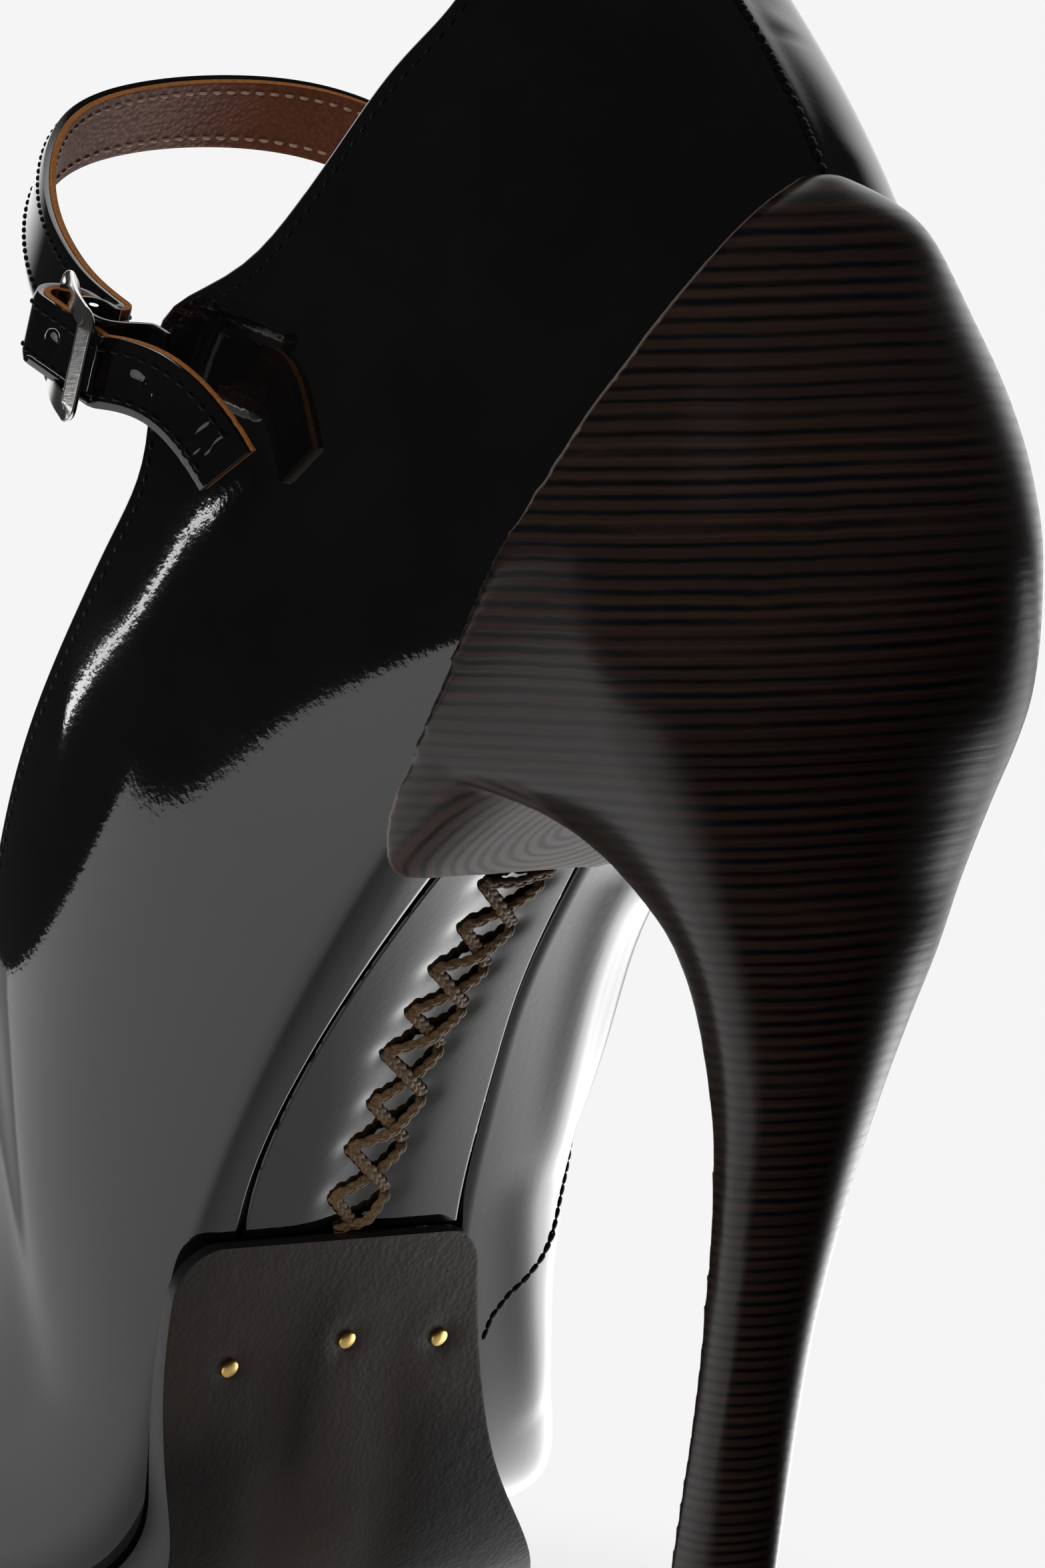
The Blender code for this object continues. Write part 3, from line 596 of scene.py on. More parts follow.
class Bench:
    """Workbench of mesh operations."""

    @staticmethod
    def only(obj: Piece) -> None:
        """Select one object alone and make it the active one.

        Args:
            obj: The object.
        """
        bpy.ops.object.select_all(action="DESELECT")
        obj.select_set(True)
        bpy.context.view_layer.objects.active = obj

    @classmethod
    def edit(cls, obj: Piece, *steps: Callable[[], object]) -> None:
        """Run edit-mode steps on the whole of one mesh.

        Args:
            obj: The mesh.
            steps: Steps to run, in order.
        """
        cls.only(obj)
        bpy.ops.object.mode_set(mode="EDIT")
        bpy.ops.mesh.select_all(action="SELECT")
        for step in steps:
            step()
        bpy.ops.object.mode_set(mode="OBJECT")

    @staticmethod
    def merge() -> None:
        """Merge the points that lie on each other."""
        bpy.ops.mesh.remove_doubles(threshold=1e-6)

    @staticmethod
    def face_out() -> None:
        """Turn the faces of a closed shape outward."""
        bpy.ops.mesh.normals_make_consistent(inside=False)

    @staticmethod
    def close_ends() -> None:
        """Fill the open ends of a tube."""
        bpy.ops.mesh.select_all(action="DESELECT")
        bpy.ops.mesh.select_non_manifold()
        bpy.ops.mesh.fill_holes(sides=0)
        bpy.ops.mesh.select_all(action="SELECT")

    @staticmethod
    def points(obj: Piece) -> Array:
        """Points of a mesh, in metres.

        Args:
            obj: The mesh.

        Returns:
            One row a point.
        """
        flat = np.empty(len(obj.data.vertices) * 3)
        obj.data.vertices.foreach_get("co", flat)
        return flat.reshape(-1, 3)

    @staticmethod
    def set_points(obj: Piece, points: Array) -> None:
        """Move all points of a mesh."""
        obj.data.vertices.foreach_set("co", np.ascontiguousarray(points, dtype=float).ravel())
        obj.data.update()

    @classmethod
    def sheet(cls, name: str, counts: Tuple[int, int], place: Place) -> Piece:
        """Grid wrapped onto a curved surface.

        Args:
            name: Name of the piece.
            counts: Faces along the sheet's two directions.
            place: Points of the drawing at shares of the two directions.

        Returns:
            The sheet's object, its places in its mesh.
        """
        bpy.ops.object.select_all(action="DESELECT")
        bpy.ops.mesh.primitive_grid_add(x_subdivisions=counts[0], y_subdivisions=counts[1], size=1.0)
        obj = bpy.context.object
        obj.name = obj.data.name = name
        flat = cls.points(obj)
        shares = np.round((flat[:, :2] + 0.5) * counts) / counts
        cls.set_points(obj, to_frame(place(shares[:, 0], shares[:, 1])))
        return obj

    @classmethod
    def modify(cls, obj: Piece, kind: str, **settings: object) -> None:
        """Add a modifier with its settings and apply it.

        Args:
            obj: The piece.
            kind: Type of the modifier.
            settings: Its settings by name.
        """
        cls.only(obj)
        modifier = obj.modifiers.new(kind.lower(), kind)
        for name, value in settings.items():
            setattr(modifier, name, value)
        bpy.ops.object.modifier_apply(modifier=modifier.name)

    @classmethod
    def thicken(cls, obj: Piece, thick: float, inner: int = 0, rim: int = 0) -> None:
        """Give a sheet its thickness, away from its face.

        Args:
            obj: The sheet.
            thick: Thickness in millimetres.
            inner: Material slot step of the inner face.
            rim: Material slot step of the cut edge.
        """
        cls.modify(obj, "SOLIDIFY", thickness=thick * MM, offset=-1.0, use_quality_normals=True,
                   material_offset=inner, material_offset_rim=rim)

    @classmethod
    def ease(cls, obj: Piece, width: float, segments: int = 2, angle: float = 55.0) -> None:
        """Round the sharp edges of a piece."""
        cls.modify(obj, "BEVEL", width=width * MM, segments=segments, limit_method="ANGLE",
                   angle_limit=math.radians(angle), harden_normals=False)

    @classmethod
    def smooth(cls, obj: Piece, angle: float = 45.0) -> None:
        """Shade a piece smoothly except across its sharp edges."""
        cls.only(obj)
        bpy.ops.object.shade_smooth_by_angle(angle=math.radians(angle))

    @classmethod
    def repeat(cls, name: str, pattern: Piece, origins: Array, axes: Array) -> Piece:
        """One mesh of many copies of a pattern, which is used up.

        Args:
            name: Name of the joined piece.
            pattern: Small object modelled round the origin, in metres.
            origins: Place of each copy in the drawing.
            axes: The three directions of each copy, one a row.

        Returns:
            The joined object.
        """
        base = cls.points(pattern)
        faces = [tuple(face.vertices) for face in pattern.data.polygons]
        placed = to_frame(origins)[:, None, :] + np.einsum("pa,nax->npx", base, axes)
        count = len(base)
        mesh = bpy.data.meshes.new(name)
        copies = [tuple(i * count + v for v in face) for i in range(len(origins)) for face in faces]
        mesh.from_pydata(placed.reshape(-1, 3).tolist(), [], copies)
        obj = bpy.data.objects.new(name, mesh)
        bpy.context.scene.collection.objects.link(obj)
        bpy.data.objects.remove(pattern, do_unlink=True)
        cls.edit(obj, cls.face_out)
        cls.smooth(obj, 60.0)
        return obj

    @classmethod
    def join(cls, name: str, pieces: Sequence[Piece]) -> Piece:
        """Join several objects into one piece.

        Args:
            name: Name of the joined piece.
            pieces: Objects to join, used up.

        Returns:
            The joined piece.
        """
        bpy.ops.object.select_all(action="DESELECT")
        for piece in pieces:
            piece.select_set(True)
        bpy.context.view_layer.objects.active = pieces[0]
        bpy.ops.object.join()
        joined = bpy.context.object
        joined.name = joined.data.name = name
        return joined

    @staticmethod
    def note(obj: Piece, name: str, values: Sequence[float]) -> None:
        """Note a value at each point of a piece, for its finish to read."""
        obj.data.attributes.new(name, "FLOAT", "POINT").data.foreach_set("value", values)

    @staticmethod
    def discard(*objs: Piece) -> None:
        """Throw away cutting shapes."""
        for obj in objs:
            bpy.data.objects.remove(obj, do_unlink=True)

    @staticmethod
    def dress(obj: Piece, *materials: Material) -> None:
        """Give a piece its materials, one a slot.

        Args:
            obj: The piece.
            materials: Its materials, one a slot.
        """
        obj.data.materials.clear()
        for material in materials:
            obj.data.materials.append(material)

    @classmethod
    def make_up(cls, obj: Piece, materials: Sequence[Material], thick: float,
                bevel: Bevel, smooth: float = 45.0) -> None:
        """Make a piece of leather from a sheet.

        Args:
            obj: The sheet.
            materials: The face's material first, the inner side's last.
            thick: Thickness in millimetres.
            bevel: Width, segments and least angle of its rounded edges.
            smooth: Angle up to which it is shaded smoothly, in degrees.
        """
        cls.dress(obj, *materials)
        cls.thicken(obj, thick, inner=len(materials) - 1)
        cls.ease(obj, *bevel)
        cls.smooth(obj, smooth)

    @classmethod
    def hand_over(cls, obj: Piece, slot: Slot, *nodes: str) -> None:
        """Let a finished piece ride on the shoe.

        Args:
            obj: The piece.
            slot: Slot of the record that its finish belongs to; not used.
            nodes: Nodes of the frame that the piece stands for.
        """
        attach(obj, ROOT)
        if nodes:
            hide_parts(*nodes)
        LOG.info("%s: %d faces", obj.name, len(obj.data.polygons))


class Value:
    """A shader value that takes part in Python arithmetic."""

    def __init__(self, tree: "Tree", socket: bpy.types.NodeSocket) -> None:
        """Wrap an output socket of the tree."""
        self.tree, self.socket = tree, socket

    def _math(self, operation: str, *values: "Term") -> "Value":
        """One Math node on values and numbers."""
        node = self.tree.add("ShaderNodeMath", {"operation": operation}, dict(enumerate(values)))
        return Value(self.tree, node.outputs[0])

    def __add__(self, other: "Term") -> "Value":
        """Sum."""
        return self._math("ADD", self, other)

    __radd__ = __add__

    def __sub__(self, other: "Term") -> "Value":
        """Difference."""
        return self._math("SUBTRACT", self, other)

    def __rsub__(self, other: float) -> "Value":
        """Difference from a number."""
        return self._math("SUBTRACT", other, self)

    def __mul__(self, other: "Term") -> "Value":
        """Product."""
        return self._math("MULTIPLY", self, other)

    __rmul__ = __mul__

    def __truediv__(self, other: "Term") -> "Value":
        """Quotient."""
        return self._math("DIVIDE", self, other)

    def fraction(self) -> "Value":
        """Part after the point."""
        return self._math("FRACT", self)

    def floor(self) -> "Value":
        """Whole part."""
        return self._math("FLOOR", self)

    def distance(self, other: "Term") -> "Value":
        """Size of the difference."""
        difference = self - other
        return self._math("ABSOLUTE", difference)

    def step(self, low: float, high: float) -> "Value":
        """Smooth rise from 0 at low to 1 at high.

        Args:
            low: Where the rise starts.
            high: Where it ends.

        Returns:
            The share risen.
        """
        node = self.tree.add("ShaderNodeMapRange", {"interpolation_type": "SMOOTHSTEP"},
                             {"Value": self, "From Min": low, "From Max": high})
        return Value(self.tree, node.outputs[0])


Term = Union[Value, float]


class Tree:
    """Node tree that a finish is drawn in."""

    def __init__(self, nodes: bpy.types.NodeTree) -> None:
        """Start from an empty tree."""
        self.nodes = nodes
        nodes.nodes.clear()

    def add(self, kind: str, settings: Optional[dict] = None,
            sockets: Optional[dict] = None) -> bpy.types.Node:
        """Add one node.

        Args:
            kind: Type of the node.
            settings: The node's own settings, set first.
            sockets: Values or links of its sockets, by name or number.

        Returns:
            The node.
        """
        node = self.nodes.nodes.new(kind)
        for name, value in (settings or {}).items():
            setattr(node, name, value)
        for name, value in (sockets or {}).items():
            socket = node.inputs[name]
            if isinstance(value, Value):
                self.nodes.links.new(value.socket, socket)
            elif isinstance(value, bpy.types.NodeSocket):
                self.nodes.links.new(value, socket)
            else:
                socket.default_value = value
        return node

    def out(self, kind: str, settings: Optional[dict] = None, sockets: Optional[dict] = None,
            output: Union[int, str] = 0) -> Value:
        """One output of a new node, as a value."""
        return Value(self, self.add(kind, settings, sockets).outputs[output])

    def place(self) -> Value:
        """Place on the piece, in metres."""
        return self.out("ShaderNodeTexCoord", output="Object")

    def stretched(self, scale: Triple) -> Value:
        """Place on the piece, scaled along each axis."""
        return self.out("ShaderNodeMapping", None, {"Vector": self.place(), "Scale": scale})

    def noise(self, size: float, detail: float = 2.0, rough: float = 0.5,
              at: Optional[Value] = None) -> Value:
        """Noise with features of one size in millimetres, or in the units of the place given.

        Args:
            size: Size of the features.
            detail: Octaves of finer features.
            rough: Strength of the finer ones.
            at: Place to read, or the place on the piece.

        Returns:
            The noise, from 0 to 1.
        """
        scale = 1 / (size * MM) if at is None else 1 / size
        return self.out("ShaderNodeTexNoise", None, {
            "Vector": at or self.place(), "Scale": scale, "Detail": detail, "Roughness": rough})

    def pebbles(self, size: float) -> Value:
        """Distance inside the cells of a pebbled grain of one size in millimetres."""
        return self.out("ShaderNodeTexVoronoi", {"feature": "SMOOTH_F1"}, {
            "Vector": self.place(), "Scale": 1 / (size * MM), "Smoothness": 0.6}, "Distance")

    def axis(self, at: Value, name: str) -> Value:
        """One axis of a place."""
        return self.out("ShaderNodeSeparateXYZ", None, {0: at}, name)

    def blend(self, share: Term, first: Union[Value, Colour],
              second: Union[Value, Colour]) -> Value:
        """Colour between two colours."""
        first, second = ((*c, 1.0) if isinstance(c, tuple) else c for c in (first, second))
        return self.out("ShaderNodeMix", {"data_type": "RGBA"}, {0: share, 6: first, 7: second}, 2)

    def bump(self, height: Value, depth: float, strength: float = 1.0) -> Value:
        """Normal of a relief whose full height is a depth in millimetres."""
        return self.out("ShaderNodeBump", None, {
            "Height": height, "Distance": depth * MM, "Strength": strength})


class Finish:
    """Base of the finishes: one material with a Principled shader."""

    def __init__(self, name: str, **fixed: object) -> None:
        """Make the material; fixed values go straight onto the shader's sockets.

        Args:
            name: Name of the material.
            fixed: Values by the shader's socket names.
        """
        self.material = bpy.data.materials.new(name)
        self.material.use_nodes = True
        self.tree = Tree(self.material.node_tree)
        self.shader = self.tree.add("ShaderNodeBsdfPrincipled", None,
                                    {k.replace("_", " "): v for k, v in fixed.items()})
        self.tree.add("ShaderNodeOutputMaterial", None, {"Surface": self.shader.outputs[0]})

    def set(self, **varying: Value) -> Material:
        """Link what changes over the surface.

        Args:
            varying: Values by the shader's socket names.

        Returns:
            The finished material.
        """
        for name, value in varying.items():
            self.tree.nodes.links.new(value.socket, self.shader.inputs[name.replace("_", " ")])
        return self.material


@dataclass(frozen=True)
class Patent:
    """Black patent leather: soft grain under a clear varnish."""

    name: str = "black_patent"
    black: Colour = (0.0028, 0.0028, 0.0030)
    worn: Colour = (0.0050, 0.0047, 0.0045)
    grain: float = 0.8
    depth: float = 0.005
    smudge: float = 18.0
    gloss: Pair = (0.05, 0.015)
    index: float = 1.65

    def material(self) -> Material:
        """Build the material.

        Returns:
            The material.
        """
        finish = Finish(self.name, IOR=self.index)
        tree = finish.tree
        relief = tree.noise(self.grain)
        smudge = tree.noise(self.smudge, 4.0, 0.6)
        return finish.set(
            Base_Color=tree.blend(smudge.step(0.35, 0.75), self.black, self.worn),
            Roughness=smudge * self.gloss[0] + self.gloss[1],
            Normal=tree.bump(relief, self.depth))


@dataclass(frozen=True)
class LayeredWood:
    """Dark wood in thin horizontal layers with near-black lines between them, with a painted highlight
    along the cup's cut rim and a paler brown painted on the lip's underside for the light it catches from
    below.
    """

    name: str = "layered_wood"
    brown: Colour = (0.036, 0.0205, 0.0155)
    deep: Colour = (0.016, 0.0105, 0.0088)
    line: Colour = (0.0040, 0.0036, 0.0038)
    # Painted highlight along the cup's cut rim.
    pale: Colour = (0.150, 0.115, 0.100)
    # Paler brown painted on the lip's underside, for the light it catches from below.
    bare: Colour = (0.078, 0.043, 0.033)
    specular: float = 0.27
    layers: float = 1000.0
    widening: float = 0.00115
    # Share of that painted light on the underside.
    bareness: float = 0.8
    gloss: Pair = (0.07, 0.18)
    line_gloss: float = 0.04
    under_gloss: float = 0.34
    depth: float = 0.007

    def material(self) -> Material:
        """Build the material.

        Returns:
            The material.
        """
        finish = Finish(self.name, Specular_IOR_Level=self.specular)
        tree = finish.tree
        wander = tree.noise(55.0, 2.0) * 0.9 + tree.noise(7.0, 3.0) * 0.30
        wander = wander + tree.noise(1.0, 1.0, 0.5, tree.stretched((4.0, 4.0, 260.0))) * 0.8
        fade = tree.noise(1.0, 3.0, 0.6, tree.stretched((45.0, 45.0, 420.0)))
        pores = tree.noise(1.0, 3.0, 0.65, tree.stretched((420.0, 420.0, 3200.0)))

        def lines(layer: Value) -> Tuple[Value, Value]:
            """Darkness of the glue lines and each layer's own tone.

            Args:
                layer: Height counted in layers.

            Returns:
                The darkness and the tone.
            """
            phase = layer * (1.0 - self.widening * layer) + wander
            tone = tree.out("ShaderNodeTexWhiteNoise", {"noise_dimensions": "1D"}, {"W": phase.floor()})
            off = phase.fraction().distance(0.5) + pores * 0.16 - 0.08
            return 1 - (off / (tone * 0.16 + 0.20)).step(0.2, 1.3), tone

        under = tree.out("ShaderNodeAttribute", {"attribute_name": "under"}, output="Fac")
        flat, tone = lines(tree.axis(tree.place(), "Z") * self.layers)
        scooped, _ = lines(tree.out("ShaderNodeAttribute", {"attribute_name": "scoop"}, output="Fac"))
        dark = (flat * (1 - under) + scooped * under) * (fade.step(0.25, 0.55) * 0.5 + 0.5)
        ground = tree.blend(tone * 0.7 + pores * 0.3, self.deep, self.brown)
        # Painted light: the underside is painted a paler brown.
        ground = tree.blend(under * self.bareness, ground, self.bare)
        # Painted highlight: a pale band along the cup's cut rim.
        rim = 1 - tree.out("ShaderNodeAttribute", {"attribute_name": "rim"}, output="Fac").step(0.15, 0.55)
        return finish.set(
            Base_Color=tree.blend(rim, tree.blend(dark, ground, self.line), self.pale),
            Roughness=(pores * self.gloss[0] + dark * self.line_gloss + under * self.under_gloss
                       + self.gloss[1]),
            Normal=tree.bump(pores * 0.5 - dark, self.depth))


@dataclass(frozen=True)
class SoleLeather:
    """Dark brown sole leather with a fine pebbled grain, and bands of painted shade where its sheen would
    miss the lit floor.
    """

    name: str = "sole_leather"
    pale: Colour = (0.040, 0.031, 0.026)
    dark: Colour = (0.0050, 0.0035, 0.0027)
    specular: float = 0.13
    cloud: float = 16.0
    grain: float = 0.62
    gloss: Triple = (0.16, 0.18, 0.24)
    depth: float = 0.055

    def material(self) -> Material:
        """Build the material.

        Returns:
            The material.
        """
        finish = Finish(self.name, Specular_IOR_Level=self.specular)
        tree = finish.tree
        cloud = tree.noise(self.cloud, 4.0, 0.62)
        # Painted shade: the bands noted on the tread, where its sheen would miss the lit floor, are painted
        # darker.
        burnish = tree.out("ShaderNodeAttribute", {"attribute_name": "burnish"}, output="Fac")
        grain = tree.pebbles(self.grain)
        scuff = tree.noise(1.0, 4.0, 0.7, tree.stretched((160.0, 60.0, 160.0)))
        return finish.set(
            Base_Color=tree.blend(burnish * 0.9 + (1 - burnish) * (1 - cloud.step(0.2, 0.7)) * 0.35,
                                  self.pale, self.dark),
            Roughness=cloud * self.gloss[0] + scuff * self.gloss[1] + self.gloss[2],
            Normal=tree.bump(grain * 0.7 + tree.noise(2.6, 3.0) * 1.6, self.depth))


@dataclass(frozen=True)
class BlackEdge:
    """Black wax on a cut leather edge, with fine lines along it."""

    name: str = "black_edge"
    black: Colour = (0.006, 0.0056, 0.0055)
    grey: Colour = (0.014, 0.013, 0.0125)
    specular: float = 0.45
    fibre: float = 0.5
    gloss: Pair = (0.2, 0.32)
    depth: float = 0.03

    def material(self) -> Material:
        """Build the material.

        Returns:
            The material.
        """
        finish = Finish(self.name, Specular_IOR_Level=self.specular)
        tree = finish.tree
        fibre = tree.noise(self.fibre, 4.0, 0.65)
        return finish.set(Base_Color=tree.blend(fibre, self.black, self.grey),
                          Roughness=fibre * self.gloss[0] + self.gloss[1],
                          Normal=tree.bump(fibre, self.depth))


@dataclass(frozen=True)
class Lining:
    """Chestnut lining leather with a pebbled grain."""

    name: str = "chestnut_lining"
    warm: Colour = (0.150, 0.046, 0.020)
    dark: Colour = (0.075, 0.022, 0.010)
    specular: float = 0.15
    grain: float = 0.55
    cloud: float = 11.0
    gloss: Pair = (0.2, 0.42)
    depth: float = 0.09

    def material(self) -> Material:
        """Build the material.

        Returns:
            The material.
        """
        finish = Finish(self.name, Specular_IOR_Level=self.specular)
        tree = finish.tree
        grain, cloud = tree.pebbles(self.grain), tree.noise(self.cloud, 3.0)
        return finish.set(
            Base_Color=tree.blend(cloud * 0.5 + grain * 0.7, self.warm, self.dark),
            Roughness=grain * self.gloss[0] + self.gloss[1],
            Normal=tree.bump(1 - grain, self.depth))


@dataclass(frozen=True)
class RawEdge:
    """Raw cut edge of tan leather, fibrous."""

    name: str = "raw_edge"
    tan: Colour = (0.56, 0.225, 0.062)
    rust: Colour = (0.27, 0.085, 0.022)
    specular: float = 0.2
    fibre: float = 0.35
    cloud: float = 4.0
    gloss: Pair = (0.1, 0.78)
    depth: float = 0.12

    def material(self) -> Material:
        """Build the material.

        Returns:
            The material.
        """
        finish = Finish(self.name, Specular_IOR_Level=self.specular)
        tree = finish.tree
        fibre = tree.noise(self.fibre, 4.0, 0.7)
        return finish.set(
            Base_Color=tree.blend(fibre.step(0.3, 0.7) * 0.6 + tree.noise(self.cloud) * 0.4,
                                  self.tan, self.rust),
            Roughness=fibre * self.gloss[0] + self.gloss[1], Normal=tree.bump(fibre, self.depth))


@dataclass(frozen=True)
class WaxedThread:
    """Waxed plaited thread."""

    name: str = "waxed_thread"
    light: Colour = (0.30, 0.178, 0.088)
    dark: Colour = (0.062, 0.034, 0.017)
    fibre: float = 0.22
    cloud: float = 1.7
    specular: float = 0.35
    gloss: Pair = (0.2, 0.5)
    depth: float = 0.06

    def material(self) -> Material:
        """Build the material.

        Returns:
            The material.
        """
        finish = Finish(self.name, Specular_IOR_Level=self.specular)
        tree = finish.tree
        fibre = tree.noise(self.fibre, 3.0, 0.65)
        cloud = tree.noise(self.cloud, 3.0)
        return finish.set(
            Base_Color=tree.blend(fibre.step(0.3, 0.7) * 0.65 + cloud * 0.35, self.light, self.dark),
            Roughness=fibre * self.gloss[0] + self.gloss[1], Normal=tree.bump(fibre, self.depth))


@dataclass(frozen=True)
class SatinMetal:
    """Brushed metal with soft scratches."""

    name: str
    bright: Colour
    dull: Colour
    rough: float
    brushing: Triple = (300.0, 2600.0, 2600.0)
    stain: float = 1.4
    uneven: float = 0.10
    depth: float = 0.004

    def material(self) -> Material:
        """Build the material.

        Returns:
            The material.
        """
        finish = Finish(self.name, Metallic=1.0)
        tree = finish.tree
        brushed = tree.noise(1.0, 3.0, 0.6, tree.stretched(self.brushing))
        stain = tree.noise(self.stain, 3.0)
        return finish.set(
            Base_Color=tree.blend(stain.step(0.4, 0.8), self.bright, self.dull),
            Roughness=(brushed + stain) * self.uneven + self.rough,
            Normal=tree.bump(brushed, self.depth))


STEEL = SatinMetal("satin_steel", (0.84, 0.83, 0.81), (0.74, 0.73, 0.71), 0.05)
BRASS = SatinMetal("brass", (0.86, 0.60, 0.20), (0.62, 0.40, 0.12), 0.22)


@dataclass
class Stitch:
    """One short stitch of a sewn row."""

    length: float
    width: float
    height: float
    pitch: float
    lift: float = 0.08
    dive: float = 0.9

    def pattern(self) -> Piece:
        """Model one stitch: a thread that dives into the leather at both ends.

        Returns:
            The stitch.
        """
        bpy.ops.object.select_all(action="DESELECT")
        bpy.ops.mesh.primitive_uv_sphere_add(segments=8, ring_count=6, radius=0.5)
        obj = bpy.context.object
        size = np.array([self.length, self.width, self.height])
        points = Bench.points(obj)[:, [2, 0, 1]] * size
        points[:, 2] -= self.height * self.dive * (2 * points[:, 0] / self.length) ** 4
        Bench.set_points(obj, points * MM)
        return obj

    def row(self, name: str, line: Array, normals: Array, slant: float = 0.0) -> Piece:
        """Sew a row of stitches.

        Args:
            name: Name of the row.
            line: Closely spaced points of the seam in the drawing.
            normals: Directions out of the leather at them.
            slant: Turn of each stitch off the seam's direction, in degrees.

        Returns:
            The row as one mesh.
        """
        runs = runs_along(line)
        at = np.arange(self.pitch / 2, runs[-1], self.pitch)
        centres, out = read_off(at, runs, line), unit(read_off(at, runs, normals))
        ways = square_to(read_off(at, runs, np.gradient(line, runs, axis=0)), out)
        across = np.cross(out, ways)
        turn = math.radians(slant)
        slanted = ways * math.cos(turn) + across * math.sin(turn)
        across = across * math.cos(turn) - ways * math.sin(turn)
        axes = np.stack([slanted, across, out], 1)
        return Bench.repeat(name, self.pattern(), centres + out * self.lift, axes)


TOP_STITCH = Stitch(1.25, 0.38, 0.30, 1.8)
BACK_STITCHES = ((Stitch(1.5, 1.15, 0.6, 1.3), 50.0), (Stitch(1.5, 1.15, 0.6, 1.55), -35.0))
SIDE_STITCH = Stitch(1.9, 0.62, 0.45, 1.35)
STRAP_STITCH = Stitch(1.25, 0.42, 0.36, 1.65)


@dataclass
class Crease:
    """Soft trough or ridge on the upper, from one place to another."""

    side: Side
    start: Pair
    end: Pair
    width: float
    depth: float

    def height(self, last: Last, points: Array) -> Array:
        """Height of the crease at points of the wall.

        Args:
            last: The form under the upper.
            points: Points of the wall in the drawing.

        Returns:
            Height off the wall in millimetres.
        """
        ends = np.array([last.skin(last.angle(np.array([u]), self.side), np.array([h]))[0]
                         for u, h in (self.start, self.end)])
        way = ends[1] - ends[0]
        share = np.clip(np.sum((points - ends[0]) * way, -1) / way.dot(way), 0, 1)
        away = np.linalg.norm(points - ends[0] - share[..., None] * way, axis=-1)
        taper = np.sqrt(np.maximum(0.0, 4 * share * (1 - share)))
        return self.depth * taper * bell(away, self.width)


CREASES = (
    Crease(Side.MEDIAL, (0.36, 0.10), (0.52, 0.22), 3.0, 0.9),
    Crease(Side.MEDIAL, (0.38, 0.20), (0.56, 0.34), 3.6, -0.9),
    Crease(Side.MEDIAL, (0.36, 0.30), (0.52, 0.46), 4.0, 0.7),
    Crease(Side.MEDIAL, (0.52, 0.12), (0.66, 0.20), 3.2, 0.6),
    Crease(Side.LATERAL, (0.62, 0.95), (0.70, 0.60), 4.0, -0.5),
    Crease(Side.LATERAL, (0.68, 0.95), (0.76, 0.62), 4.5, 0.5),
    Crease(Side.MEDIAL, (0.62, 0.95), (0.70, 0.60), 4.0, -0.5),
    Crease(Side.MEDIAL, (0.68, 0.95), (0.76, 0.62), 4.5, 0.5),
)


